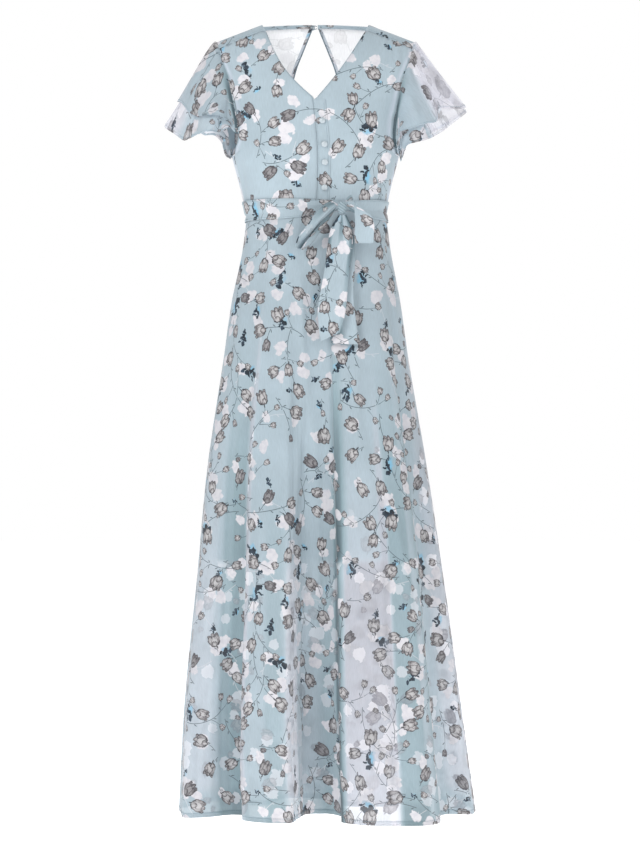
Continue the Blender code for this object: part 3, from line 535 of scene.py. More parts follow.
def drawPrint():
    # the whole print over a ground colour: blossoms, then stems with leaves, sprigs and tulips
    tree, add, start, end = startGroup("floralPrint", {"Ground": "Color"}, {"Colour": "Color", "Ink": "Float"})
    places = {name: add("Attribute", attribute_name=name).outputs["Vector"] for name in [*motifTrees, "stem"]}

    # blossoms: soft silhouettes of two round lobes
    parts, wobble = seededNoise(add, places["blossom"], 61.0, 2.0, 2.5)[:2]
    flat = add("VectorMath", [places["blossom"], (1, 1, 0)], "MULTIPLY")
    large = ovalShape(add, flat, (0.0, -0.06, 0, 0.62, 0.86))
    lesser = ovalShape(add, flat, (0.46, 0.36, -30, 0.40, 0.52))
    apartBy = add("MapRange", [parts.outputs[2], 0.35, 0.6, 1.0, 0.0])
    lesser = add("Math", [lesser, apartBy], "ADD")
    reach = add("Math", [large, lesser, 0.25], "SMOOTH_MIN")
    reach = add("Math", [wobble.outputs[0], 1.1, reach], "MULTIPLY_ADD")
    pale = add("MapRange", [reach, 1.58, 1.44])
    shade = add("MapRange", [wobble.outputs[0], 0.4, 0.62, 0.0, 0.8])
    white = add("MixRGB", [shade, inks["blossom"], inks["blossomShade"]])
    colour = add("MixRGB", [pale, start.outputs[0], white])
    ink = add("Math", [pale, 0.86], "MULTIPLY")

    # stems about 1.2 mm thick with a small leaf every so often, on alternate sides
    leafPitch = 19 * mm
    parts = add("SeparateXYZ", [places["stem"]])
    side = add("Math", [parts.outputs[0]], "ABSOLUTE")
    taper = add("MapRange", [parts.outputs[2], 0.0, 18 * mm, 0.4, 1.0])
    side = add("Math", [side, taper], "DIVIDE")
    thin = add("MapRange", [side, 0.85 * mm, 0.4 * mm])
    begun = add("Math", [parts.outputs[1], 0.0], "GREATER_THAN")
    left = add("Math", [parts.outputs[2], -3 * mm], "GREATER_THAN")
    within = add("Math", [begun, left], "MULTIPLY")
    line = add("Math", [thin, within], "MULTIPLY")
    period = add("Math", [parts.outputs[1], 1 / leafPitch], "MULTIPLY")
    whole = add("Math", [period], "FLOOR")
    part = add("Math", [period], "FRACT")
    odd = add("Math", [whole, 2.0], "MODULO")
    flip = add("Math", [odd, 2.0, -1.0], "MULTIPLY_ADD")
    out = add("Math", [parts.outputs[0], flip], "MULTIPLY")
    along = add("Math", [part, leafPitch], "MULTIPLY")
    leafPlace = add("CombineXYZ", [along, out])
    leaf = petalShape(add, leafPlace.outputs[0], (6.5 * mm, 3.0 * mm, -52, 1.1 * mm, 3.8 * mm))
    leafMask = add("MapRange", [leaf, 1.0, 0.75])
    leafMask = add("Math", [leafMask, within], "MULTIPLY")
    stemMask = add("Math", [line, leafMask], "MAXIMUM")
    pale = add("Math", [parts.outputs[2], printLayout["paleMark"] / 2], "GREATER_THAN")
    strength = add("MapRange", {0: pale, 3: 0.85, 4: 0.5})
    stemMask = add("Math", [stemMask, strength], "MULTIPLY")
    stemInk = add("MixRGB", [pale, inks["stem"], inks["blossom"]])
    colour = add("MixRGB", [stemMask, colour, stemInk])
    ink = add("Math", [ink, stemMask], "MAXIMUM")

    tulip = drawTulip()
    for name, drawing in (("sprig", drawSprig()), ("tulipA", tulip), ("tulipB", tulip)):
        motif = add("Group", [places[name]], node_tree=drawing)
        colour = add("MixRGB", [motif.outputs[1], colour, motif.outputs[0]])
        ink = add("Math", [ink, motif.outputs[1]], "MAXIMUM")
    feed(tree, end, [colour, ink])
    return tree


floralPrint = drawPrint()


# ---- cloth finishes ----

# Polyester crepe chiffon, printed on its right side. The crepe yarns are 0.15 mm apart, too fine
# to show, so its grain is drawn as slubs 1.5 mm wide and 14 mm long. Each shell carries a tone of
# painted shade and painted light: 0 is plain cloth, -1 is painted shade where further layers lie
# below it, partly the deeper colour of cloth lying double, -2 is painted shade deep in a fold, 1 is
# painted light on one layer against the light and 2 is painted light where it is washed out by it.
# Each tone has a colour, how much it covers, how strong its print is and the colour of its wrong
# side; the pale wrong sides are partly the paler back of the print and partly painted light.
chiffon = {
    "tones": {
        -2: ("#4E6068", 0.98, 0.85, "#4C5A62"),
        -1: ("#8FA5AD", 0.96, 1.0, "#8899A3"),
        0: ("#AEBEC7", 0.88, 1.0, "#E6EAF0"),
        1: ("#DFDFE8", 0.58, 0.95, "#F6F7FA"),
        2: ("#ECECF2", 0.42, 0.45, "#FAFAFC"),
    },
    # the back: one layer whose wrong side is painted near white, painted light for an inside in full light
    "backTones": {
        0: ("#AEBEC7", 0.9, 1.0, "#FEFEFF"),
        1: ("#D6D6E0", 0.66, 0.95, "#FDFDFE"),
    },
    # ribbons: their wrong side is as blue as the right one, but plain; their tones are painted shade below 0
    # and painted light above it
    "ribbonTones": {
        -2: ("#4E6068", 1, 0.85, "#4E6068"),
        -1: ("#7F949D", 1, 1.0, "#7F949D"),
        0: ("#A6B6BF", 1, 1.0, "#A9BAC3"),
        1: ("#B9C4CF", 1, 0.95, "#B9C4CF"),
        2: ("#D9DEE8", 1, 0.4, "#D9DEE8"),
    },
    # cloth mounted on lining, fully covering: painted shade below tone 0 and painted light above it
    "mountedTones": {
        -2: ("#4E6068", 1, 0.85, "#4C5A62"),
        -1: ("#7F949D", 1, 1.0, "#8899A3"),
        0: ("#A6B6BF", 1, 1.0, "#DFE5EC"),
        1: ("#B9C4CF", 1, 0.95, "#E6EAF1"),
        2: ("#D9DEE8", 1, 0.4, "#F0F2F7"),
    },
    "cloudy": 0.12,  # paler patches, each 100 mm or so, and how much paler
    "wrongPrint": 0.9,  # share of the print that comes through to the back in shade
    "inkOpacity": 0.95,
    # a painted see-through: a copy of the print on the layers behind, shown where the tone paints the cloth as
    # hanging in the light
    "behindShift": (0.19, 0.12),
    "behindTulip": ("#8F8B96", 0.7),
    "behindBlossom": ("#EFEDF2", 0.75),
    "behindCover": 0.35,
    "behindUnlined": 0.55,
    "roughness": 0.8,
    "sheen": 0.2,
    # translucency rises with the painted light tone, so cloth painted as washed out passes more light
    "translucency": (0.14, 0.55),  # where it is plain and where it is washed out
    "slubs": (650, 70, 1),  # per metre
    "mountedTranslucency": (0.08, 0.08),
}


def paintedPrintBehind(add, ground, tone):
    # painted see-through: faint tulips and blossoms of the layers behind, painted over the ground and below
    # the cloth's own print where the painted light tone puts the cloth in the light, and half as strong below
    # the lining's hem
    c = chiffon
    lit = add("MapRange", [tone, 0.1, 0.45])
    spot = add("TexCoord")
    spot = add("SeparateXYZ", [spot.outputs["Object"]])
    below = -sizes["liningHem"]
    unlined = add("MapRange", [spot.outputs[2], below, below - 10 * mm, 0.0, c["behindUnlined"]])
    lit = add("Math", [lit, unlined], "MAXIMUM")
    place = add("Attribute", attribute_name="farBlossom")
    flat = add("VectorMath", [place.outputs["Vector"], (1, 1, 0)], "MULTIPLY")
    wobble = add("TexNoise", {"Vector": place.outputs["Vector"], "Scale": 2.0, "Detail": 2.5})
    reach = add("Math", [wobble.outputs[0], 1.1, ovalShape(add, flat, (0, 0, 20, 0.8, 0.9))], "MULTIPLY_ADD")
    pale = add("MapRange", [reach, 1.5, 1.4, 0.0, c["behindBlossom"][1]])
    pale = add("Math", [pale, lit], "MULTIPLY")
    ground = add("MixRGB", [pale, ground, linear(c["behindBlossom"][0])])
    place = add("Attribute", attribute_name="farTulip")
    tulip = add("Group", {"Place": place.outputs["Vector"]}, node_tree=bpy.data.node_groups["tulipMotif"])
    dark = add("Math", [tulip.outputs[1], c["behindTulip"][1]], "MULTIPLY")
    dark = add("Math", [dark, lit], "MULTIPLY")
    inked = add("MixRGB", [0.5, tulip.outputs[0], linear(c["behindTulip"][0])])
    ground = add("MixRGB", [dark, ground, inked])
    both = add("Math", [pale, dark], "MAXIMUM")
    cover = add("Math", [both, c["behindCover"]], "MULTIPLY")
    return ground, cover


def chiffonMaterial(name, tones, sheer, twoSided=False, lightPrint=0.2, behind=False):
    # two-sided cloth is folded double, so both its faces are right sides; lightPrint is the share
    # of the print that comes through to the back in full light
    material, add = startMaterial(name)
    c = chiffon
    cloth = add("UVMap", uv_map="clothMetres")
    grain = add("Mapping", {"Vector": cloth, "Scale": c["slubs"]})
    slub = add("TexNoise", {"Vector": grain, "Scale": 1.0, "Detail": 2.0})
    cloud = add("TexNoise", {"Vector": cloth, "Scale": 9.0, "Detail": 2.0})
    # the tone of painted shade and light: through the ramps it picks colour, cover, print strength and wrong
    # side
    tone = add("Attribute", attribute_name="tone")
    shade = add("MapRange", [tone.outputs["Fac"], -2.0, 2.0])
    ramps = [add("ValToRGB", [shade]) for layer in range(3)]
    for ramp in ramps:
        for place in (0.25, 0.5, 0.75):
            ramp.color_ramp.elements.new(place)
    for place, level in enumerate(sorted(tones)):
        colour, cover, strength, wrong = tones[level]
        ramps[0].color_ramp.elements[place].color = linear(colour)
        ramps[1].color_ramp.elements[place].color = (cover, strength, 0, 1)
        ramps[2].color_ramp.elements[place].color = linear(wrong)
    cover = add("SeparateColor", [ramps[1]])
    side = add("NewGeometry")
    back = add("Math", [side.outputs["Backfacing"], 0.0 if twoSided else 1.0], "MULTIPLY")
    ground = add("MixRGB", [back, ramps[0], ramps[2]])
    vary = add("MapRange", [cloud.outputs[0], 0.4, 0.7, 1.0, 1.0 + c["cloudy"]])
    streak = add("MapRange", [slub.outputs[0], 0.3, 0.7, 0.94, 1.05])
    uneven = add("Math", [vary, streak], "MULTIPLY")
    ground = add("VectorMath", [ground, uneven], "MULTIPLY")
    if behind:
        ground, behindCover = paintedPrintBehind(add, ground, tone.outputs["Fac"])
    printed = add("Group", {"Ground": ground}, node_tree=floralPrint)
    light = add("MapRange", [tone.outputs["Fac"], -1.0, 0.0, c["wrongPrint"], lightPrint])
    strength = add("MapRange", {0: back, 3: 1.0, 4: light})
    strength = add("Math", [strength, cover.outputs[1]], "MULTIPLY")
    colour = add("MixRGB", [strength, ground, printed.outputs[0]])
    ink = add("Math", [printed.outputs[1], strength], "MULTIPLY")
    bump = add("Bump", {"Strength": 0.35, "Distance": 0.3 * mm, "Height": slub.outputs[0]})
    face = add("BsdfPrincipled", {"Base Color": colour, "Roughness": c["roughness"], "Sheen Weight": c["sheen"],
                                  "Normal": bump})
    through = add("BsdfTranslucent", {"Color": colour, "Normal": bump})
    # translucency follows the painted light tone
    low, high = c["translucency" if sheer else "mountedTranslucency"]
    passed = add("MapRange", [tone.outputs["Fac"], 0.2, 2.0, low, high])
    woven = add("MixShader", [passed, face, through])
    if sheer:
        gap = add("BsdfTransparent", {"Color": linear("#FAFAFC")})
        inked = add("Math", [ink, c["inkOpacity"]], "MULTIPLY")
        solid = add("Math", [cover.outputs[0], inked], "MAXIMUM")
        if behind:
            solid = add("Math", [solid, behindCover], "ADD", use_clamp=True)
        woven = add("MixShader", [solid, gap, woven])
    add("OutputMaterial", {"Surface": woven})
    return material


def plainMaterial(name, colour, roughness, sheen=0.0, coat=0.0, scale=(500, 500, 500), relief=0.15):
    # finely grained finish from one colour; scale is the grain per metre along each axis
    material, add = startMaterial(name)
    where = add("TexCoord")
    grain = add("Mapping", {"Vector": where.outputs["Object"], "Scale": scale})
    noise = add("TexNoise", {"Vector": grain, "Scale": 1.0, "Detail": 3.0})
    shade = add("MapRange", [noise.outputs[0], 0.3, 0.7, 0.93, 1.05])
    tint = add("VectorMath", [linear(colour)[:3], shade], "MULTIPLY")
    bump = add("Bump", {"Strength": relief, "Distance": 0.2 * mm, "Height": noise.outputs[0]})
    face = add("BsdfPrincipled", {"Base Color": tint, "Roughness": roughness, "Sheen Weight": sheen,
                                  "Coat Weight": coat, "Normal": bump})
    add("OutputMaterial", {"Surface": face})
    return material


materials = {
    "sheer": chiffonMaterial("crepeChiffonSheer", chiffon["tones"], True, False, 0.75, True),
    "back": chiffonMaterial("crepeChiffonBack", {**chiffon["tones"], **chiffon["backTones"]}, True),
    "mounted": chiffonMaterial("crepeChiffonMounted", chiffon["mountedTones"], False),
    "doubled": chiffonMaterial("crepeChiffonDoubled", chiffon["mountedTones"], False, True),
    "ribbon": chiffonMaterial("crepeChiffonRibbon", chiffon["ribbonTones"], False),
    # fine woven lining: a soft, slightly lustrous plain surface
    "lining": plainMaterial("taffetaLining", "#AFBFC7", 0.55, sheen=0.15, scale=(900, 900, 160)),
    # bias binding of the same chiffon, four layers thick, so it looks darker and closed
    "binding": plainMaterial("chiffonBinding", "#6F818B", 0.75, sheen=0.2),
    "thread": plainMaterial("polyesterThread", "#8FA6B0", 0.6, scale=(2500, 2500, 2500)),
    # moulded polyester buttons with a satin face that catches a soft highlight
    "button": plainMaterial("polyesterButton", "#B4BFC5", 0.25, coat=0.5, scale=(300, 300, 300), relief=0.04),
}
print("materials made")


# ---- the worn form ----

# Sections of the bodice: each row is a level below the shoulder
bodice = table("down halfWidth front back", [
    (0, 180, 64, 60), (60, 182, 80, 70), (120, 177, 96, 78), (180, 164, 110, 81), (240, 151, 116, 80),
    (290, 138, 107, 76), (345, 126, 97, 73),
])
# Front armhole edge of a panel, from the shoulder point down
armhole = table("down across", [
    (31, 178), (66, 170), (100, 158), (130, 151), (160, 145), (190, 140), (215, 139), (232, 144),
])
# Half width of the keyhole
keyhole = table("down halfWidth", [
    (10, 7), (44, 23), (78, 37), (110, 43), (140, 35), (158, 20), (165, 8), (168, 0.3),
])
# Sections of the skirt without its folds
skirtSections = table("down halfWidth middle front back", [
    (345, 126, 2, 97, 74), (408, 134, 2, 108, 92), (498, 152, 1, 117, 108), (602, 167, 1, 124, 122),
    (783, 196, 3, 133, 140), (1020, 225, 10, 145, 155), (1238, 250, 15, 158, 166),
    (1425, 267, 24, 170, 176),
])
# The hem as it stands in plan: angle at the waist in degrees, then where the cloth lies
hemRows = {
    "front": [
        # angle, across, depth
        (-90, -243, -25), (-76, -229, -86), (-62, -192, -76), (-48, -146, -46), (-40, -121, -58),
        (-35, -129, -112), (-25, -86, -148), (-13, -46, -150), (-9, -31, -98), (-3, -8, -34), (3, 22, -34),
        (7, 49, -78), (9, 49, -146), (20, 92, -180), (34, 146, -186), (46, 196, -180), (53, 219, -150),
        (57, 215, -84), (64, 243, -36), (78, 276, -44), (90, 291, 8),
    ],
    "back": [
        (-90, 291, 8), (-78, 278, 66), (-66, 246, 110), (-56, 216, 150), (-48, 180, 168), (-40, 156, 128),
        (-34, 150, 78), (-24, 110, 58), (-14, 62, 62), (-8, 38, 116), (0, 2, 168), (12, -48, 178),
        (20, -76, 138), (27, -90, 84), (36, -124, 78), (42, -140, 122), (52, -176, 150), (62, -206, 112),
        (72, -222, 66), (82, -244, 40), (90, -243, -25),
    ],
}
foldGrowth = 1.6  # power with which the folds open from waist to hem


def column(rows, name, down):
    return spline(down, rows["down"], rows[name])


def shoulderLine(across, back):
    # height of the shoulder ridge; behind the neck it rises to the nape
    across = np.abs(across)
    slope = sizes["shoulderDrop"] / (sizes["shoulderHalf"] - sizes["neckHalf"])
    height = -slope * np.maximum(across - sizes["neckHalf"], 0)
    nape = 22 * mm * (1 - np.minimum(across / sizes["neckHalf"], 1) ** 2)
    return np.where(back, height + nape, height)


def depthOf(across, z, back):
    # how far in front of or behind the middle plane the worn form lies
    across = np.abs(across)
    half = column(bodice, "halfWidth", -z)
    full = np.where(back, column(bodice, "back", -z), column(bodice, "front", -z))
    r = sizes["roundness"]
    section = (1 - np.minimum(across / half, 1) ** r) ** (1 / r)
    reach = np.where(back, sizes["roundBack"], sizes["roundFront"])
    below = np.clip((shoulderLine(across, back) - z) / reach, 0, 1)
    return full * section * np.sqrt(1 - (1 - below) ** 2)


def rounded(share):
    # sine or cosine of a section's angle, with the form's roundness
    return np.sign(share) * np.abs(share) ** (2 / sizes["roundness"])


def onBody(turn, z, back):
    across = column(bodice, "halfWidth", -z) * rounded(np.sin(turn))
    depth = depthOf(across, z, back)
    return np.stack([across, np.where(back, depth, -depth), z + 0 * across], axis=-1)


def turnOf(across, z):
    half = column(bodice, "halfWidth", -z)
    return np.sign(across) * np.arcsin(np.clip(np.abs(across) / half, 0, 1) ** (sizes["roundness"] / 2))


def onFront(x, z):
    # the wearer's left front, with its gathers and dart
    return frontEase(onBody(turnOf(x, z), z, False), "left")


def bodyFlat(points, back):
    # the cloth's own coordinates of points on the form: round it from the middle, and up from the waist
    turn = turnOf(points[..., 0], points[..., 2])
    z = points[..., 2]
    steps = 20
    around = np.zeros_like(z)
    upward = np.zeros_like(z)
    lastAround = onBody(0 * turn, z, back)
    lastUp = onBody(turn, 0 * z - sizes["waist"], back)
    for i in range(1, steps + 1):
        nextAround = onBody(turn * i / steps, z, back)
        around += np.linalg.norm(nextAround - lastAround, axis=-1)
        lastAround = nextAround
        nextUp = onBody(turn, -sizes["waist"] + (z + sizes["waist"]) * i / steps, back)
        upward += np.linalg.norm(nextUp - lastUp, axis=-1)
        lastUp = nextUp
    return np.stack([around * np.sign(turn) * (-1 if back else 1), upward], axis=-1)


gathers = {
    "depth": 2.3 * mm,
    "pitch": 13 * mm,
    "reach": 42 * mm,
    "from": 112 * mm,
    "to": 172 * mm,
    "fade": 16 * mm,
    "dartPlace": {"right": -72 * mm, "left": 86 * mm},
    "dartDepth": 2.4 * mm,
    "dartWidth": 9 * mm,
    "dartReach": 62 * mm,
}


def frontEase(points, side):
    # gathers below the yoke and the dart above the waist, pushed along the depth
    g = gathers
    across = np.abs(points[..., 0])
    belowYoke = shoulderLine(across, False) - sizes["yokeSeamFront"] - points[..., 2]
    nearShoulder = np.clip(np.stack([across - g["from"], g["to"] - across]) / g["fade"], 0, 1).prod(axis=0)
    wave = np.cos(2 * np.pi * across / g["pitch"] + 0.9 * np.sin(across / (7 * mm)))
    gather = g["depth"] * wave * nearShoulder * np.exp(-np.maximum(belowYoke, 0) / g["reach"])
    fromDart = (points[..., 0] - g["dartPlace"][side]) / g["dartWidth"]
    dartShare = np.clip(1 - (points[..., 2] + sizes["waist"]) / g["dartReach"], 0, 1)
    moved = points.copy()
    moved[..., 1] += gather + g["dartDepth"] * np.exp(-fromDart**2) * dartShare
    return moved


def centreFront(z):
    # edge where the fronts meet under the placket; it leans to the wearer's left
    return spline(-z, [sizes["vDepth"], 230 * mm, sizes["waist"]], [-2 * mm, 6 * mm, 5 * mm])


def vEdge(share, belly):
    low = np.array([0.0, -sizes["vDepth"]])
    high = np.array([sizes["neckHalf"] - 0.5 * sizes["yokeSeamFront"], -sizes["yokeSeamFront"]])
    along = unit(high - low)
    bow = belly * np.sin(np.pi * share)[:, None]
    return low + (high - low) * share[:, None] + bow * np.array([along[1], -along[0]])


def keyholeEdge(share):
    outline = np.stack([keyhole["halfWidth"], -keyhole["down"]], axis=1)[::-1]
    return spline(share, chords(outline), outline)


def necklineBack(across):
    bow = 6 * mm * (1 - np.minimum(np.abs(across) / sizes["neckHalf"], 1) ** 2)
    inside = bow - sizes["neckbandHeight"] - sizes["seamGap"]
    underYoke = shoulderLine(across, False) - sizes["yokeSeamBack"] - sizes["seamGap"]
    return np.where(np.abs(across) < sizes["neckHalf"], inside, underYoke)


def seamUnderYoke(across):
    return shoulderLine(across, False) - sizes["yokeSeamFront"] - sizes["seamGap"]


def armholeAt(down):
    # just inside the form's own side
    return np.minimum(column(armhole, "across", down), column(bodice, "halfWidth", down) - 0.02 * mm)


def panelGrid(lowEdge, highEdge, armTop, topLine, rows, columns, back):
    # grid between an inner edge and the side of the form, in three bands of rows: along the side
    # seam, along the underarm to where the low edge ends, and up the armhole to the top line
    rowsSide, rowsArm, rowsHigh = rows
    waist = sizes["waist"]
    underarm = sizes["underarm"]
    sideZ = np.linspace(-waist + sizes["seamGap"], -underarm, rowsSide + 1)
    sideTurn = np.full(rowsSide + 1, math.pi / 2 - 0.0005)
    armZ = np.linspace(-underarm, -armTop, 40)
    armTurn = turnOf(armholeAt(-armZ), armZ)
    pathTurn = np.concatenate([np.linspace(sideTurn[-1], armTurn[0], 12)[:-1], armTurn])
    pathZ = np.concatenate([np.full(11, -underarm), armZ])
    reached = chords(onBody(pathTurn, pathZ, back))
    probe = np.linspace(0, 1, 60)
    lowStart = np.interp(-underarm - 4 * mm, lowEdge(probe)[:, 1], probe)
    middle = np.interp(lowEdge(probe)[-1, 1] - 30 * mm, pathZ[11:], reached[11:])
    side = np.linspace(0, 1, rowsSide + 1)
    arm = np.linspace(0, 1, rowsArm + 1)[1:]
    high = np.linspace(0, 1, rowsHigh + 1)[1:]
    along = np.concatenate([middle * arm, middle + (1 - middle) * high])
    outerTurn = np.concatenate([sideTurn, np.interp(along, reached, pathTurn)])
    outerZ = np.concatenate([sideZ, np.interp(along, reached, pathZ)])
    inner = np.concatenate([lowEdge(lowStart * side), lowEdge(lowStart + (1 - lowStart) * arm), highEdge(high)])
    share = np.linspace(0, 1, columns + 1)[None, :]
    innerTurn = turnOf(inner[:, 0], inner[:, 1])[:, None]
    turn = innerTurn * (1 - share) + outerTurn[:, None] * share
    z = inner[:, 1:] * (1 - share) + outerZ[:, None] * share
    across = column(bodice, "halfWidth", -z) * rounded(np.sin(turn))
    rise = np.concatenate([0 * side, 0 * arm, high])[:, None] ** 2
    z = z + rise * (topLine(across[-1]) - z[-1])[None, :]
    return onBody(turnOf(across, z), z, back)


def skirtBase(angle, z):
    # section of the skirt without folds; angle 0 is the centre front, 180 the centre back
    half, middle, front, back = (column(skirtSections, name, -z) for name in list(skirtSections)[1:])
    depth = np.where(np.cos(angle) > 0, front, back)
    across = middle + half * rounded(np.sin(angle))
    return np.stack([across, -depth * rounded(np.cos(angle)), z + 0 * across], axis=-1)


def skirtGrid(part, shares, levels):
    rows = np.array(hemRows[part], float)
    angles = np.radians(rows[:, 0]) + (math.pi if part == "back" else 0)
    places = rows[:, 1:] * mm
    knots = chords(places)
    angle = np.interp(shares, knots, angles)
    plan = spline(shares, knots, places)
    foot = skirtBase(angle, np.full_like(angle, -sizes["hem"]))
    grid = []
    for z in levels:
        ring = skirtBase(angle, np.full_like(angle, z))
        grown = np.clip((-z - sizes["waist"]) / (sizes["hem"] - sizes["waist"]), 0, 1) ** foldGrowth
        ring[:, :2] += grown * (plan - foot[:, :2])
        grid.append(ring)
    return np.array(grid)


# ---- cloth as shells ----


def normalsOf(grid, inside):
    # unit normals that point away from the inside
    normal = unit(np.cross(np.gradient(grid, axis=1), np.gradient(grid, axis=0)))
    facing = np.sum(normal * (grid - np.array(inside)))
    return normal if facing > 0 else -normal


def ringNormals(grid, inside):
    # the same for a grid whose first and last columns meet
    around = np.concatenate([grid[:, -2:-1], grid, grid[:, 1:2]], axis=1)
    return normalsOf(around, inside)[:, 1:-1]


def rowReach(grid):
    # mean length from the first row down to each row
    steps = np.linalg.norm(np.diff(grid, axis=0), axis=2).mean(axis=1)
    return np.concatenate([[0], np.cumsum(steps)])[:, None]


def layFlat(grid):
    # the cut of a panel that was joined into its form: a strip, or a part of a ring where it flares
    widths = np.linalg.norm(np.diff(grid, axis=1), axis=2)
    across = np.concatenate([np.zeros((len(grid), 1)), np.cumsum(widths, axis=1)], axis=1)
    share = across / np.maximum(across[:, -1:], 1e-9) - 0.5
    reach = rowReach(grid)
    first, last = across[0, -1], across[-1, -1]
    spread = (last - first) / reach[-1, 0]
    if abs(spread) < 0.05:
        return np.stack([share * (first + last) / 2, reach + 0 * share], axis=-1)
    radius = first / spread + reach
    turn = share * spread
    return np.stack([radius * np.sin(turn), radius * np.cos(turn) - first / spread], axis=-1)


def layStrip(grid):
    # the cut of a straight strip that is gathered where it is narrow
    widths = np.linalg.norm(np.diff(grid, axis=1), axis=2).sum(axis=1)
    reach = rowReach(grid)
    share = np.linspace(-0.5, 0.5, grid.shape[1])[None, :]
    return np.stack([share * np.percentile(widths, 75) + 0 * reach, reach + 0 * share], axis=-1)


def withTone(flat, paintedBands):
    # adds the cloth's tone of painted shade and light to its coordinates: below 0 painted shade, above 0
    # painted light. Each band has where it starts and ends and how soft its edges are as shares across the
    # piece, from where and how slowly it comes in on the way down, and its tone
    across = np.linspace(0, 1, flat.shape[1])[None, :]
    down = np.linspace(0, 1, flat.shape[0])[:, None]
    tone = np.zeros(flat.shape[:2])
    for start, end, soft, top, fade, value in paintedBands:
        side = smoothStep((across - start) / soft + 0.5) * smoothStep((end - across) / soft + 0.5)
        tone = tone + value * side * smoothStep((down - top) / fade)
    return np.concatenate([flat, tone[..., None]], axis=-1)


def pastEdge(grid, flat, inside, edge, rowsPast):
    # adds rows or columns past an edge; rowsPast makes them from a grid whose last row is that edge
    def turn(*sheets):
        return [a.swapaxes(0, 1) if edge.endswith("Column") else a for a in sheets]

    step = -1 if edge.startswith("first") else 1
    sheets = [a[::step] for a in turn(grid, flat, normalsOf(grid, inside))]
    more = rowsPast(*sheets)
    return turn(*(np.concatenate([a, np.array(b)])[::step] for a, b in zip(sheets, more)))


def flatOnward(flat):
    step = flat[-1] - flat[-2]
    step[..., 2:] = 0
    return unit(step)


def extendUnder(grid, flat, inside, edge, reach, drop=0.9 * mm):
    # two more rows or columns past an edge, tucked below the piece next to it
    def rowsPast(grid, flat, normal):
        onward = unit(grid[-1] - grid[-2])
        return ([grid[-1] + onward * reach * share - normal[-1] * drop for share in (0.2, 1.0)],
                [flat[-1] + flatOnward(flat) * reach * share for share in (0.2, 1.0)])

    return pastEdge(grid, flat, inside, edge, rowsPast)


def pressCreases(grid, flat, inside, rows):
    # soft troughs and ridges: ends as shares across and down the piece, then width and height in mm
    normal = normalsOf(grid, inside)
    moved = grid.copy()
    flat = flat[..., :2]
    height, width = flat.shape[0] - 1, flat.shape[1] - 1
    for acrossA, downA, acrossB, downB, spread, rise in rows:
        start = flat[round(downA * height), round(acrossA * width)]
        end = flat[round(downB * height), round(acrossB * width)]
        along = end - start
        length = np.linalg.norm(along)
        if length < 1e-6:
            continue
        along = along / length
        off = flat - start
        reach = (off @ along) / length
        bow = 0.06 * length * np.sin(np.pi * np.clip(reach, 0, 1)) * (1 if rise > 0 else -1)
        side = off[..., 0] * along[1] - off[..., 1] * along[0] - bow
        fade = smoothStep(reach / 0.25 + 0.5) * smoothStep((1 - reach) / 0.35 + 0.3)
        lift = rise * mm * np.exp(-(side / (spread * mm)) ** 2) * fade
        moved = moved + lift[..., None] * normal
    return moved


def foldUnder(grid, flat, inside, edges, width, gap=0.9 * mm):
    # turns edges under, one after another: three more rows or columns that double back inside
    def rowsPast(grid, flat, normal):
        back = grid[::-1]
        lengths = np.linalg.norm(np.diff(back, axis=0), axis=2)
        reached = np.concatenate([np.zeros((1, grid.shape[1])), np.cumsum(lengths, axis=0)])
        turned, turnedFlat = [grid[-1] - normal[-1] * gap * 0.5], [flat[-1]]
        for share in (0.35, 1.0):
            place = np.array([[np.interp(width * share, reached[:, i], back[:, i, axis]) for axis in range(3)]
                              for i in range(grid.shape[1])])
            step = min(int(round(width * share / max(lengths.mean(), 1e-6))), len(grid) - 1)
            turned.append(place - normal[-1 - step] * gap)
            turnedFlat.append(flat[-1] + flatOnward(flat) * width * share)
        return turned, turnedFlat

    for edge in edges.split():
        grid, flat = pastEdge(grid, flat, inside, edge, rowsPast)
    return grid, flat


printNumber = [0]


def addPiece(name, mesh, finish, nodes):
    mesh.shade_smooth()
    mesh.materials.append(materials[finish])
    piece = bpy.data.objects.new(name, mesh)
    bpy.context.scene.collection.objects.link(piece)
    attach(piece, "root")
    if nodes:
        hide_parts(*nodes)
    return piece


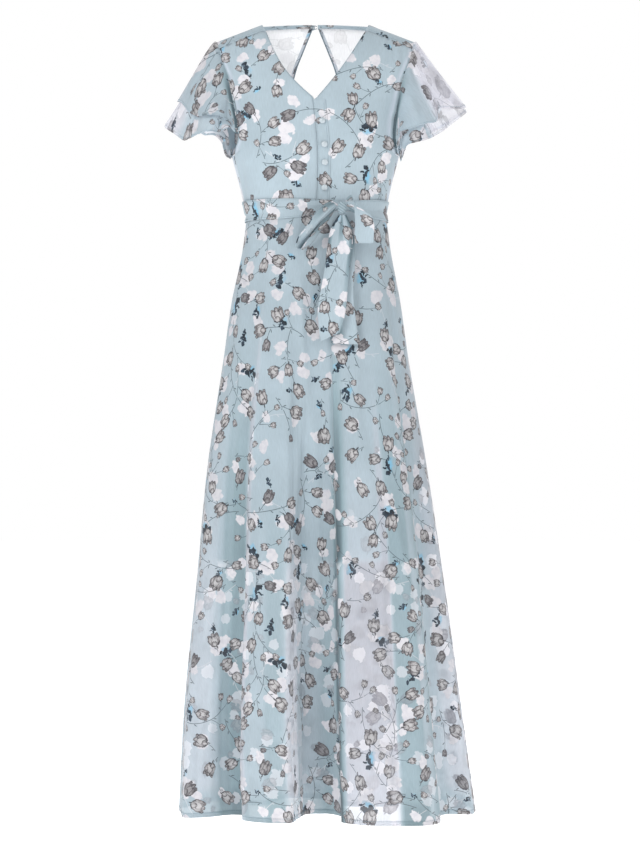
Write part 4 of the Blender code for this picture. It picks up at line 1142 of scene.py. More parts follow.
def addShell(name, grid, flat, inside, finish, nodes=None, printed=True, printedAs=0):
    # one layer of cloth over a grid of points, faced outwards, with its print and its cut size
    rows, columns = grid.shape[:2]
    index = np.arange(rows * columns).reshape(rows, columns)
    faces = np.stack([index[:-1, :-1], index[:-1, 1:], index[1:, 1:], index[1:, :-1]], axis=-1).reshape(-1, 4)
    raw = np.cross(np.gradient(grid, axis=1), np.gradient(grid, axis=0))
    if np.sum(raw * (grid - np.array(inside))) < 0:
        faces = faces[:, ::-1]
    mesh = bpy.data.meshes.new(name + "_cloth")
    mesh.from_pydata(grid.reshape(-1, 3).tolist(), [], faces.tolist())
    if flat.shape[-1] > 2:
        tone = mesh.attributes.new("tone", "FLOAT", "POINT")
        tone.data.foreach_set("value", flat[..., 2].reshape(-1).astype(np.float32))
        flat = flat[..., :2]
    cloth = flat.reshape(-1, 2)[faces]
    uv = mesh.uv_layers.new(name="clothMetres")
    uv.data.foreach_set("uv", cloth.reshape(-1).astype(np.float32))
    printNumber[0] += printed
    # each piece is cut from another place of the print, unless it is matched to one
    shift = np.array([0.137, 0.211]) * (printedAs or printNumber[0])
    places = motifPlaces(cloth + shift) if printed else {
        layer: np.full(cloth.shape[:2] + (3,), 9.0) for layer in [*motifTrees, "stem"]}
    if finish == "sheer":
        # the print of the layers behind it, as it would lie seen through the cloth, for the painted see-through
        behind = motifPlaces(cloth * np.array([-1, 1]) + shift + np.array(chiffon["behindShift"]))
        places |= {"farTulip": behind["tulipB"], "farBlossom": behind["blossom"]}
    for layer, local in places.items():
        made = mesh.attributes.new(layer, "FLOAT_VECTOR", "CORNER")
        made.data.foreach_set("vector", local.reshape(-1).astype(np.float32))
    piece = addPiece(name + "_cloth", mesh, finish, nodes or [name])
    print("  ", name, len(faces), "faces")


def addSolid(name, points, faces, finish, nodes, slot=None):
    mesh = bpy.data.meshes.new(name)
    mesh.from_pydata([tuple(p) for p in points], [], faces)
    shape = bmesh.new()
    shape.from_mesh(mesh)
    bmesh.ops.recalc_face_normals(shape, faces=shape.faces)
    shape.to_mesh(mesh)
    shape.free()
    addPiece(name, mesh, finish, nodes)


stitch = {
    "length": 2.3 * mm,
    "pitch": 3.3 * mm,
    "radius": 0.28 * mm,
}


def addStitches(name, grid, inside, lines, slot=None):
    # rows of short thread stitches along lines of a grid
    over = normalsOf(grid, inside)
    points = []
    faces = []
    for line in lines:
        path, outward = grid[line], over[line]
        reached = reachOf(path)
        for start in np.arange(0.5 * stitch["pitch"], reached[-1] - stitch["pitch"], stitch["pitch"]):
            at = start + np.array([0, 0.5, 1.0]) * stitch["length"]
            middle, out = (np.stack([np.interp(at, reached, a[:, axis]) for axis in range(3)], axis=1)
                           for a in (path, outward))
            out = unit(out)
            middle += out * np.array([0.0, 1.3, 0.0])[:, None] * stitch["radius"]
            aside = unit(np.cross(middle[2] - middle[0], out[1]))
            first = len(points)
            for place, up in zip(middle, out):
                for angle in np.arange(0.5, 4) * math.pi / 2:
                    points.append(place + stitch["radius"] * (math.cos(angle) * aside + math.sin(angle) * up))
            for low in (first, first + 4):
                faces += [(low + i, low + (i + 1) % 4, low + 4 + (i + 1) % 4, low + 4 + i) for i in range(4)]
            faces.append((first + 3, first + 2, first + 1, first))
            faces.append((first + 8, first + 9, first + 10, first + 11))
    addSolid(name + "_stitches", points, faces, "thread", [], slot)


# ---- bodice ----

# Soft drag lines, from the bust to the armhole and down to the waist
frontCreases = {
    "left": [
        # across, down, across, down, width, height
        (0.95, 0.58, 0.52, 0.44, 15, -2.2), (0.97, 0.44, 0.62, 0.24, 11, 1.8),
        (0.72, 0.02, 0.64, 0.36, 10, -2.0), (0.30, 0.02, 0.36, 0.30, 9, 1.4),
        (0.88, 0.02, 0.90, 0.30, 9, -1.8), (0.50, 0.97, 0.58, 0.72, 8, -1.6),
        (0.72, 0.96, 0.74, 0.66, 7, 1.3), (0.15, 0.10, 0.20, 0.40, 12, -1.1),
        (0.96, 0.80, 0.70, 0.70, 9, -1.2),
    ],
    "right": [
        (0.95, 0.56, 0.54, 0.42, 16, -2.2), (0.96, 0.42, 0.62, 0.22, 11, 1.8),
        (0.80, 0.02, 0.72, 0.35, 10, -2.1), (0.42, 0.02, 0.36, 0.32, 9, 1.5),
        (0.91, 0.02, 0.89, 0.29, 9, -1.6), (0.56, 0.97, 0.48, 0.74, 8, -1.6),
        (0.70, 0.95, 0.66, 0.70, 7, 1.2), (0.18, 0.06, 0.22, 0.38, 11, -1.2),
        (0.97, 0.82, 0.72, 0.74, 9, -1.2),
    ],
}
backCreases = dict.fromkeys(sides, [
    (0.30, 0.05, 0.42, 0.50, 13, -2.0), (0.62, 0.02, 0.70, 0.42, 11, 1.6),
    (0.85, 0.05, 0.80, 0.55, 13, -2.1), (0.45, 0.95, 0.55, 0.55, 11, 1.4),
])
# Bands of painted shade and light: start, end and softness across, where from and how slowly down,
# tone. In front, painted light along the side and painted shade by the armhole; behind, painted
# light that pales the inside
bodicePaintedShading = {
    "front": [(0.88, 1.3, 0.10, -1.0, 0.5, 1.1), (0.955, 1.3, 0.04, 0.30, 0.15, -1.6)],
    "back": [(-0.3, 1.3, 0.1, -1.0, 0.5, 0.35)],
}
# Rows along the side seam, the underarm and the armhole, columns, creases and the turned edge
panels = {
    "front": {"rows": (20, 20, 32), "columns": 44, "creases": frontCreases, "turn": 9 * mm},
    "back": {"rows": (20, 16, 34), "columns": 40, "creases": backCreases, "turn": 6 * mm},
    "yoke": {"rows": 14, "columns": 24},
}
tuck = 4 * mm  # how far the panels reach under the yokes
keyholeSides = {}


def addBodice():
    gap, waist = sizes["seamGap"], sizes["waist"]
    for side, sign in sides.items():

        def centre(share):
            z = -waist + gap + (waist - gap - sizes["vDepth"]) * share
            return np.stack([gap / 2 + sign * centreFront(z), z], axis=1)

        def neck(share):
            return vEdge(share, sizes["vBelly"][side])

        def spine(share):
            z = -waist + gap + (waist - gap - sizes["keyholeDepth"]) * share
            return np.stack([np.full_like(z, gap / 2), z], axis=1)

        for part, lowEdge, highEdge, topLine in (("front", centre, neck, seamUnderYoke),
                                                 ("back", spine, keyholeEdge, necklineBack)):
            p, back, name = panels[part], part == "back", part + "_" + side
            armTop = sizes["shoulderDrop"] + sizes["yokeSeam" + part.title()]
            grid = panelGrid(lowEdge, highEdge, armTop, topLine, p["rows"], p["columns"], back)
            grid[..., 0] *= sign
            flat = withTone(bodyFlat(grid, back), bodicePaintedShading[part])
            grid = pressCreases(grid if back else frontEase(grid, side), flat, chest, p["creases"][side])
            opening = sum(p["rows"][:2])  # row where the V or the keyhole starts
            if back:
                keyholeSides[side] = grid[opening:, 0]
            grid, flat = extendUnder(grid, flat, chest, "lastRow", tuck)
            grid, flat = foldUnder(grid, flat, chest, "firstColumn", p["turn"])
            if not back:
                addStitches(name + "_neck", grid, chest, [np.s_[opening + 1:-2, 3]])
            addShell(name, grid, flat, chest, "back" if back else "mounted",
                     printedAs=0 if back else 1)
        grid = yokeGrid(sign, **panels["yoke"])
        under = (sign * 0.13, 0, -0.2)
        addStitches("yoke_" + side, grid, under, [np.s_[1, 1:-1], np.s_[-2, 1:-1]])
        addShell("yoke_" + side, grid, layFlat(grid), under, "mounted")


def yokeGrid(sign, rows, columns):
    gap = sizes["seamGap"]
    frontAngle = math.acos(1 - (sizes["yokeSeamFront"] - gap) / sizes["roundFront"])
    backAngle = math.acos(1 - (sizes["yokeSeamBack"] - gap) / sizes["roundBack"])
    share = np.linspace(0, 1, columns + 1)
    grid = []
    for angle in np.linspace(-frontAngle, backAngle, rows + 1):
        back = angle > 0
        drop = (sizes["roundBack"] if back else sizes["roundFront"]) * (1 - math.cos(angle))
        inner = sizes["neckHalf"] - (0 if back else 0.5 * drop)
        across = inner + (sizes["shoulderHalf"] - inner) * share
        z = shoulderLine(across, False) - drop
        depth = depthOf(across, z, back)
        grid.append(np.stack([sign * across, depth if back else -depth, z], axis=1))
    return np.array(grid)


placket = {
    "width": 19 * mm,
    "start": 1.2 * mm,  # below the foot of the V
    "lap": 0.14,  # share of its width that laps over the other front
    "standOff": 0.9 * mm,  # clear of the panels below it
    "rows": 43,
    "columns": 12,
    "turn": 6 * mm,
}


def placketPoints(downs, shares):
    z = -downs[:, None] + 0 * shares[None, :]
    return onFront(centreFront(z) + sizes["seamGap"] + placket["width"] * shares[None, :], z)


def addPlacket():
    top, foot = sizes["vDepth"] + placket["start"], sizes["waist"] - sizes["seamGap"]
    downs = np.linspace(top, foot, placket["rows"] + 1)
    points = placketPoints(downs, np.linspace(-placket["lap"], 1, placket["columns"] + 1))
    flat = bodyFlat(points, False)
    grid = points + placket["standOff"] * normalsOf(points, chest)
    grid = pressCreases(grid, flat, chest, [
        (0.2, 0.22, 0.9, 0.30, 5, -0.5), (0.1, 0.55, 0.8, 0.62, 6, -0.6), (0.5, 0.80, 0.9, 0.92, 6, -0.5),
    ])
    addStitches("placket", grid, chest, [np.s_[1:-1, 1], np.s_[1:-1, -3]])
    grid, flat = foldUnder(grid, flat, chest, "firstColumn lastColumn", placket["turn"], 0.5 * mm)
    addShell("placket", grid, flat, chest, "mounted", printedAs=1)


# ---- sleeves ----

# Hem of the lower tier, from the front of the armhole over the shoulder to the back
sleeveRows = {
    "lowerRight": [
        # share, across, depth, down
        (0.00, -152, -60, 192), (0.06, -159, -70, 195), (0.12, -172, -74, 202), (0.17, -187, -98, 203),
        (0.24, -206, -88, 206), (0.31, -224, -68, 212), (0.37, -235, -76, 217), (0.43, -252, -42, 203),
        (0.50, -273, -6, 186), (0.57, -266, 30, 180), (0.64, -246, 64, 190), (0.71, -222, 68, 184),
        (0.77, -205, 88, 190), (0.84, -186, 70, 193), (0.90, -172, 58, 208), (0.95, -165, 38, 232),
        (1.00, -154, 14, 242),
    ],
    "lowerLeft": [
        (0.00, 154, -22, 250), (0.07, 158, -48, 240), (0.14, 164, -66, 225), (0.22, 180, -94, 222),
        (0.29, 197, -98, 218), (0.35, 212, -80, 210), (0.41, 228, -60, 199), (0.46, 241, -38, 187),
        (0.50, 272, -6, 161), (0.58, 253, 36, 166), (0.66, 238, 62, 176), (0.73, 212, 62, 190),
        (0.80, 196, 80, 197), (0.88, 176, 62, 205), (0.94, 164, 46, 218), (1.00, 154, 14, 238),
    ],
    # The upper tier: place along the armhole, length against the lower tier's, stand-off in mm
    "upperRight": [
        (0.00, 0.50, 4), (0.08, 0.54, 7), (0.14, 0.60, 11), (0.20, 0.70, 8), (0.32, 0.73, 7),
        (0.42, 0.70, 6), (0.50, 0.70, 2), (0.62, 0.66, 9), (0.76, 0.62, 7), (0.88, 0.60, 10),
        (1.00, 0.50, 4),
    ],
    "upperLeft": [
        (0.00, 0.45, 4), (0.08, 0.52, 8), (0.16, 0.64, 10), (0.24, 0.77, 9), (0.31, 0.82, 12),
        (0.37, 0.85, 12), (0.42, 0.74, 6), (0.46, 0.79, 3), (0.50, 0.94, 2), (0.58, 0.76, 6),
        (0.70, 0.66, 9), (0.84, 0.60, 8), (1.00, 0.50, 4),
    ],
}
sleeve = {
    "clear": 2.9 * mm,
    "swell": {"right": 4.5 * mm, "left": 0.5 * mm},
    "span": {"right": (0.12, 0.97), "left": (0.06, 0.97)},
    "tierGap": 2.0 * mm,
    "columns": 150,
    "rows": 34,
    "ripples": 34,  # fine waves round a hem
    "rippleHeight": 1.5 * mm,
    # soft folds that run down from the seam
    "creases": {
        "lowerRight": [
            (0.22, 0.05, 0.20, 1.0, 8, 2.4), (0.36, 0.15, 0.37, 1.0, 9, -2.2),
            (0.62, 0.05, 0.63, 1.0, 8, 2.2), (0.80, 0.05, 0.79, 1.0, 9, -2.0),
        ],
        "lowerLeft": [
            (0.20, 0.05, 0.21, 1.0, 8, 2.4), (0.34, 0.15, 0.33, 1.0, 9, -2.0),
            (0.64, 0.05, 0.65, 1.0, 8, 2.2), (0.82, 0.05, 0.80, 1.0, 9, -2.0),
        ],
        "upperRight": [
            (0.14, 0.02, 0.12, 1.0, 6, -1.8), (0.26, 0.02, 0.27, 1.0, 7, 2.0),
            (0.40, 0.10, 0.41, 1.0, 7, -1.6), (0.66, 0.02, 0.67, 1.0, 7, 2.0),
            (0.84, 0.02, 0.85, 1.0, 6, -1.8),
        ],
        "upperLeft": [
            (0.12, 0.02, 0.10, 1.0, 6, -1.8), (0.24, 0.02, 0.25, 1.0, 7, 2.0),
            (0.36, 0.10, 0.35, 1.0, 6, -1.6), (0.68, 0.02, 0.67, 1.0, 7, 2.0),
            (0.86, 0.02, 0.85, 1.0, 6, -1.8),
        ],
    },
    # Bands of painted light, as withTone takes them: paler where a tier hangs against the light and washed out
    # by it
    "paintedBands": {
        "lowerRight": [(0.42, 0.62, 0.07, 0.45, 0.25, 0.95), (0.62, 0.74, 0.1, -1.0, 0.5, 0.3)],
        "upperRight": [(0.47, 0.62, 0.06, 0.30, 0.4, 0.4), (0.62, 0.74, 0.1, -1.0, 0.5, 0.3)],
        "lowerLeft": [(0.35, 0.64, 0.08, -0.1, 0.3, 1.8), (0.64, 0.74, 0.1, -1.0, 0.5, 0.5)],
        "upperLeft": [(0.385, 0.64, 0.09, -0.1, 0.3, 1.7), (0.64, 0.74, 0.1, -1.0, 0.5, 0.5)],
    },
    # painted shadow by the armhole: how far from the seam it reaches, and its tone, in front and behind
    "paintedRootShadow": {"front": (0.22, -2.0), "back": (0.9, -1.1)},
}


def armholeEdge(side):
    # from the front underarm over the shoulder to the back underarm
    downs = np.concatenate([[238], np.linspace(225, 55, 10), [44, 36, 31.5]]) * mm
    across = armholeAt(downs)
    across[0] = column(bodice, "halfWidth", downs)[0] - 2 * mm
    front = np.stack([across, -depthOf(across, -downs, False), -downs], axis=1)
    back = np.stack([across, depthOf(across, -downs, True), -downs], axis=1)[::-1]
    path = np.concatenate([front, back[1:]])
    path[:, 0] *= sides[side]
    return path


def sleeveRoot(side, shares):
    # places along the armhole for shares of the sleeve's seam
    edge = armholeEdge(side)
    start, end = sleeve["span"][side]
    return spline(start + (end - start) * shares, chords(edge), edge)


def flounce(side, shares, reaches):
    # lower tier: shares run along its seam, reaches[row, column] from seam to hem
    sign = sides[side]
    root = sleeveRoot(side, shares)
    root[:, 0] += sign * sleeve["clear"]
    rows = np.array(sleeveRows["lower" + side.title()], float)
    hem = spline(shares, rows[:, 0], rows[:, 1:] * [mm, mm, -mm])
    over = np.sin(np.pi * shares)
    swell = sleeve["swell"][side] * np.sin(np.pi * reaches**0.6)
    grid = root[None] + (hem - root)[None] * reaches[..., None]
    grid[..., 0] += sign * swell * (0.4 + 0.6 * over)
    grid[..., 2] += swell * 0.8 * over
    return grid


def rippled(grid, inside, count, height, seed):
    # fine uneven waves that grow towards the last row
    rng = np.random.default_rng(seed)
    share = np.linspace(0, 1, grid.shape[1])
    wave = np.zeros_like(share)
    for i in range(3):
        turns = count * (0.55 + 0.45 * i)
        wave += np.sin(2 * np.pi * (turns * share + rng.random())) * rng.uniform(0.4, 0.9)
    strength = 0.5 + 0.5 * np.sin(2 * np.pi * (2.6 * share + rng.random()))
    ends = np.minimum(1, np.minimum(share, 1 - share) / 0.03)
    down = np.linspace(0, 1, grid.shape[0])[:, None] ** 1.4
    lift = height * 0.5 * wave * (0.35 + 0.65 * strength) * ends * down
    return grid + lift[..., None] * normalsOf(grid, inside)


def seamInto(grid, flat, side, shares):
    # the top of a tier, from inside the armhole out over its edge
    sign = sides[side]
    root = sleeveRoot(side, shares)
    tucked = root * [1, 0.98, 1] - np.array([sign * 5 * mm, 0, 0.4 * mm])
    edge = root + np.array([sign * 0.25 * mm, 0, 0])
    onward = flat[1:2] - flat[:1]
    first = flat[:1] - onward / np.linalg.norm(onward[..., :2], axis=-1, keepdims=True) * 6 * mm
    second = flat[:1] * 0.6 + first * 0.4
    first[..., 2:] = flat[:1, :, 2:]
    second[..., 2:] = flat[:1, :, 2:]
    return np.concatenate([[tucked, edge], grid]), np.concatenate([first, second, flat])


def addSleeves():
    (nearReach, nearTone), (farReach, farTone) = sleeve["paintedRootShadow"].values()
    down = np.linspace(0, 1, sleeve["rows"] + 1)[:, None]
    for number, (side, sign) in enumerate(sides.items()):
        inside = (sign * 0.15, 0, -0.3)
        for tier, margin in (("lower", 0), ("upper", 0.02)):
            shares = np.linspace(margin, 1 - margin, sleeve["columns"] + 1)
            cut = tier + side.title()
            if tier == "lower":
                grid = flounce(side, shares, down + 0 * shares)
            else:
                rows = np.array(sleeveRows[cut], float)
                length, standOff = spline(shares, rows[:, 0], rows[:, 1:]).T
                under = flounce(side, shares, down * length)
                lift = sleeve["tierGap"] + standOff * mm * down**1.5
                grid = under + lift[..., None] * normalsOf(under, inside)
            flat = withTone(layFlat(grid), sleeve["paintedBands"][cut])
            # painted shadow near the seam at the front and back ends of the armhole
            near = smoothStep((0.36 - shares) / 0.2) * smoothStep(1 - down / nearReach)
            far = smoothStep((shares - 0.76) / 0.1) * smoothStep(1.4 - down / farReach)
            flat[..., 2] += (nearTone - flat[..., 2]) * near
            flat[..., 2] += (farTone - flat[..., 2]) * far
            grid = pressCreases(grid, flat, inside, sleeve["creases"][cut])
            grid = rippled(grid, inside, sleeve["ripples"], sleeve["rippleHeight"], 3 + number + 4 * len(tier))
            name = f"sleeve_{tier}_{side}"
            addStitches(name + "_hem", grid, inside, [-2], "sheer_chiffon")
            grid, flat = foldUnder(grid, flat, inside, "lastRow", 5 * mm, 0.6 * mm)
            grid, flat = seamInto(grid, flat, side, shares)
            addShell(name, grid, flat, inside, "sheer")


# ---- skirt ----

# Lesser folds between the flutes: soft ridges and troughs that run down from the waist
skirt = {
    "nodes": {
        "front": ["skirt_front"],
        "back": ["skirt_side_left", "skirt_back_left", "skirt_back_right", "skirt_side_right"],
    },
    "columns": {"front": 230, "back": 180},
    "rows": 150,
    "hemTurn": 9 * mm,
    "seamTurn": 8 * mm,
    "ripples": {"front": 40, "back": 32},
    "rippleHeight": 1.3 * mm,
    "creases": {
        "front": [
            # across, down, across, down, width, height
            (0.10, 0.10, 0.08, 0.98, 14, 3.0), (0.155, 0.02, 0.15, 0.70, 10, -1.8),
            (0.21, 0.30, 0.215, 1.00, 12, 3.5), (0.34, 0.05, 0.345, 0.60, 9, 2.2),
            (0.37, 0.35, 0.375, 1.00, 12, -2.2), (0.405, 0.20, 0.40, 0.95, 8, 2.6),
            (0.44, 0.00, 0.45, 0.45, 10, -2.0), (0.60, 0.02, 0.615, 0.55, 9, 2.0),
            (0.645, 0.30, 0.64, 1.00, 14, 3.2), (0.685, 0.10, 0.69, 0.85, 10, -2.2),
            (0.72, 0.45, 0.725, 1.00, 10, 2.8), (0.80, 0.02, 0.81, 0.60, 11, 2.2),
            (0.87, 0.25, 0.875, 1.00, 13, 3.0), (0.93, 0.05, 0.92, 0.70, 9, -1.8),
        ],
        "back": [
            (0.09, 0.08, 0.085, 0.95, 13, 2.8), (0.17, 0.02, 0.175, 0.65, 10, -1.8),
            (0.25, 0.30, 0.255, 1.00, 12, 3.2), (0.36, 0.04, 0.355, 0.60, 10, 2.0),
            (0.43, 0.35, 0.435, 1.00, 12, 2.8), (0.52, 0.02, 0.515, 0.55, 9, -2.0),
            (0.60, 0.25, 0.605, 1.00, 13, 3.2), (0.71, 0.05, 0.70, 0.70, 10, 2.2),
            (0.82, 0.20, 0.825, 1.00, 12, 2.8), (0.91, 0.04, 0.90, 0.60, 9, -1.8),
        ],
    },
    # Bands of painted shade and light, as withTone takes them: painted shade in the fold valleys, partly the
    # deeper colour of cloth lying double there, and painted light on lit flutes and fold edges
    "paintedBands": {
        "front": [
            (-0.1, 0.105, 0.03, 0.20, 0.5, 0.28), (0.122, 0.186, 0.02, 0.10, 0.45, -0.8),
            (0.150, 0.186, 0.012, 0.20, 0.4, -0.35), (0.222, 0.245, 0.010, 0.10, 0.3, 0.6),
            (0.292, 0.324, 0.014, 0.42, 0.2, -0.55), (0.328, 0.395, 0.016, 0.42, 0.3, 0.2),
            (0.328, 0.395, 0.016, 0.57, 0.03, 0.35), (0.470, 0.600, 0.03, 0.45, 0.25, -0.75),
            (0.520, 0.612, 0.014, 0.12, 0.45, -1.1), (0.575, 0.622, 0.014, 0.12, 0.30, -0.8),
            (0.575, 0.622, 0.014, 0.56, 0.03, 0.8), (0.604, 0.70, 0.02, 0.36, 0.25, 0.3),
            (0.604, 0.70, 0.02, 0.565, 0.02, 0.6), (0.604, 0.695, 0.010, 0.965, 0.02, -0.3),
            (-0.1, 0.600, 0.010, 0.945, 0.03, -0.45), (0.700, 1.1, 0.010, 0.945, 0.03, -0.45),
            (0.696, 0.712, 0.006, 0.26, 0.3, 0.9), (0.714, 0.766, 0.010, 0.15, 0.4, -0.8),
            (0.79, 0.86, 0.02, 0.15, 0.4, -0.7), (0.915, 1.1, 0.04, 0.10, 0.4, 0.45),
        ],
        "back": [
            (0.04, 0.12, 0.03, 0.20, 0.5, 0.5), (0.27, 0.42, 0.05, 0.15, 0.5, -0.5),
            (0.44, 0.50, 0.03, 0.30, 0.4, 0.6), (0.54, 0.60, 0.03, 0.35, 0.4, 0.6),
            (0.65, 0.73, 0.04, 0.15, 0.5, -0.5), (0.78, 0.84, 0.03, 0.30, 0.4, 0.6),
            (0.88, 0.96, 0.03, 0.15, 0.5, -0.4),
        ],
    },
    "liningRows": 60,
    "liningColumns": {"front": 120, "back": 96},
    "liningClear": 3.6 * mm,
    "liningTurn": 14 * mm,
}


def addSkirt():
    waist = sizes["waist"] + sizes["seamGap"]
    seamShare = 0.0003
    levels = -np.linspace(waist, sizes["hem"], skirt["rows"] + 1)
    for number, (part, columns) in enumerate(skirt["columns"].items()):
        grid = skirtGrid(part, np.linspace(seamShare, 1 - seamShare, columns + 1), levels)
        flat = withTone(layFlat(grid), skirt["paintedBands"][part])
        grid = pressCreases(grid, flat, hips, skirt["creases"][part])
        grid = rippled(grid, hips, skirt["ripples"][part], skirt["rippleHeight"], 11 + number)
        addStitches(f"skirt_{part}_hem", grid, hips, [np.s_[-2, 1:-1]], "sheer_chiffon")
        grid, flat = foldUnder(grid, flat, hips, "lastRow", skirt["hemTurn"], 0.7 * mm)
        grid, flat = foldUnder(grid, flat, hips, "firstColumn lastColumn", skirt["seamTurn"])
        addShell("skirt_" + part, grid, flat, hips, "sheer", skirt["nodes"][part])
    levels = -np.linspace(waist, sizes["liningHem"], skirt["liningRows"] + 1)
    shares = {part: np.linspace(0, 1, count + 1) for part, count in skirt["liningColumns"].items()}
    front, back = (skirtGrid(part, share, levels) for part, share in shares.items())
    ring = np.concatenate([front[:, :-1], back], axis=1)
    grid = ring - skirt["liningClear"] * ringNormals(ring, hips)
    grid, flat = foldUnder(grid, layFlat(grid), hips, "lastRow", skirt["liningTurn"], 0.8 * mm)
    nodes = ["lining_front", "lining_back"]
    addShell("skirt_lining", grid, flat, hips, "lining", nodes, printed=False)


# ---- belt and bow ----

belt = {
    "height": 37 * mm,
    "top": 321.5 * mm,
    "squeeze": 22 * mm,  # how much lower it gets where it runs into the knot
    "clear": 2.4 * mm,
    "knotTurn": 19,  # degrees from the centre front, and how many the squeeze reaches
    "squeezeTurn": 22,
    "columns": 240,
    "rows": 12,
    "turn": 6 * mm,
}


def addBelt():
    angles = np.linspace(-math.pi, math.pi, belt["columns"] + 1)
    squeeze = np.exp(-((angles - math.radians(belt["knotTurn"])) / math.radians(belt["squeezeTurn"])) ** 2)
    rows = []
    for share in np.linspace(0, 1, belt["rows"] + 1):
        top = belt["top"] + 0.2 * belt["squeeze"] * squeeze
        down = top + (belt["height"] - belt["squeeze"] * squeeze) * share
        lower = skirtBase(angles, -np.maximum(down, sizes["waist"]))
        behind = np.abs(angles) > math.pi / 2
        turn = np.where(behind, np.sign(angles) * math.pi - angles, angles)
        upper = onBody(turn, -np.minimum(down, sizes["waist"]), behind)
        ring = np.where((down < sizes["waist"])[:, None], upper, lower)
        ring[:, 2] = -down
        rows.append(ring)
    grid = np.array(rows)
    inside = (0, 0, -sizes["waist"])
    grid = grid + belt["clear"] * ringNormals(grid, inside)
    flat = layFlat(grid)
    grid = pressCreases(grid, flat, inside, [
        # across, down, across, down, width, height: creases that run into the knot, then along the sides
        (0.30, 0.30, 0.54, 0.42, 3.5, -1.1), (0.36, 0.75, 0.54, 0.60, 3.0, -1.0),
        (0.42, 0.55, 0.54, 0.50, 2.5, 0.8), (0.56, 0.40, 0.72, 0.25, 3.5, -1.1),
        (0.56, 0.62, 0.68, 0.72, 3.0, -0.9), (0.12, 0.55, 0.30, 0.48, 4.0, -0.7),
        (0.76, 0.50, 0.92, 0.58, 4.0, -0.7), (0.02, 0.40, 0.14, 0.46, 4.0, -0.6),
    ])
    addStitches("belt", grid, inside, [1, -2])
    grid, flat = foldUnder(grid, flat, inside, "firstRow lastRow", belt["turn"])
    addShell("belt", grid, flat, inside, "doubled")


# Ribbons of the bow: middle (across, depth, down), then half of the width as a vector
bowRibbons = {
    "bow_tail_front": [
        (47, -117, 353, 6, -3, 0), (46, -123, 376, 18, -3, 1), (44, -127, 405, 22, 2, 1),
        (39, -131, 445, 22, 4, 0), (33, -134, 490, 24, 3, 0), (28, -137, 530, 24, -2, 2),
        (26, -139, 570, 17, -3, -8),
    ],
    "bow_tail_back": [
        (50, -106, 352, 5, 1, 0), (52, -109, 380, 14, 1, 0), (51, -113, 410, 18, -1, 0),
        (47, -118, 445, 23, 2, 0), (43, -123, 490, 24, 2, 0), (46, -127, 535, 25, 2, 0),
        (54, -129, 582, 26, 2, 1),
    ],
    "bow_loop_right": [
        (34, -118, 333, -4, -6, -4), (24, -130, 340, -5, -12, -6), (6, -136, 358, -5, -14, -6),
        (-13, -134, 384, -5, -15, -6), (-27, -128, 402, -5, -15, -5), (-29, -124, 413, -6, -14, -2),
        (-20, -122, 411, -10, -11, 5), (-4, -122, 392, -11, -10, 8), (14, -119, 368, -11, -9, 8),
        (28, -114, 347, -7, -6, 5), (33, -111, 341, -4, -4, 3),
    ],
    "bow_loop_left": [
        (57, -120, 330, 2, -3, 6), (68, -131, 331, 5, -4, 12), (82, -138, 346, 14, -3, 8),
        (87, -137, 372, 17, -2, 2), (86, -131, 395, 17, -2, 0), (87, -125, 404, 16, -3, 0),
        (88, -120, 396, 15, -2, 1), (87, -117, 370, 14, -3, 3), (76, -115, 350, 9, -3, 6),
        (60, -112, 342, 3, -3, 5),
    ],
}
# Creases pressed into each ribbon: they fan out from the knot
bowCreases = {
    "bow_tail_front": [
        (0.45, 0.00, 0.30, 0.45, 3.0, -2.0), (0.60, 0.00, 0.78, 0.55, 3.0, 1.8),
        (0.50, 0.30, 0.48, 0.95, 4.5, 1.5), (0.20, 0.55, 0.30, 0.95, 4.0, -1.4),
        (0.72, 0.35, 0.70, 0.90, 3.5, -1.4),
    ],
    "bow_tail_back": [
        (0.40, 0.00, 0.25, 0.40, 3.0, -1.8), (0.65, 0.00, 0.80, 0.55, 3.0, 1.7),
        (0.55, 0.40, 0.60, 0.98, 4.5, -1.6), (0.85, 0.45, 0.82, 0.98, 4.0, 1.2),
    ],
    "bow_loop_right": [
        (0.40, 0.00, 0.35, 0.30, 2.5, -1.5), (0.70, 0.00, 0.75, 0.35, 2.5, 1.3),
        (0.45, 1.00, 0.40, 0.62, 2.5, -1.4),
    ],
    "bow_loop_left": [
        (0.35, 0.00, 0.30, 0.36, 2.5, -1.6), (0.65, 0.00, 0.70, 0.42, 2.5, 1.4),
        (0.50, 1.00, 0.55, 0.70, 2.5, -0.8),
    ],
}
# Bands of painted shade and light, as withTone takes them: painted shadow by the knot that fades down
# each ribbon, painted shadow along the back tail beside the front one and painted shade on the
# returning halves of the loops
bowPaintedShading = {
    "bow_tail_front": [
        (-0.2, 0.12, 0.12, -0.1, 0.05, -1.5), (-0.2, 0.12, 0.12, 0.22, 0.3, 1.5),
        (0.86, 1.3, 0.12, -0.1, 0.05, -1.6), (0.86, 1.3, 0.12, 0.3, 0.3, 1.0),
        (0.42, 0.58, 0.06, -0.1, 0.05, -1.2), (0.42, 0.58, 0.06, 0.10, 0.2, 1.2),
    ],
    "bow_tail_back": [
        (-0.2, 0.45, 0.3, -0.1, 0.2, -1.5), (-0.2, 1.3, 0.1, -0.2, 0.1, -1.2),
        (-0.2, 1.3, 0.1, 0.15, 0.3, 1.2),
    ],
    "bow_loop_right": [
        (-0.2, 1.2, 0.1, 0.64, 0.2, -1.5), (0.45, 1.3, 0.3, -0.2, 0.1, -1.3),
        (0.45, 1.3, 0.3, 0.08, 0.25, 1.3),
    ],
    "bow_loop_left": [
        (-0.2, 1.2, 0.1, 0.75, 0.2, -1.3), (-0.2, 0.4, 0.3, -0.2, 0.1, -0.8),
        (-0.2, 0.4, 0.3, 0.08, 0.2, 0.8),
    ],
}
loopMiddles = {"bow_loop_right": (-0.01, -0.126, -0.382), "bow_loop_left": (0.08, -0.124, -0.37)}
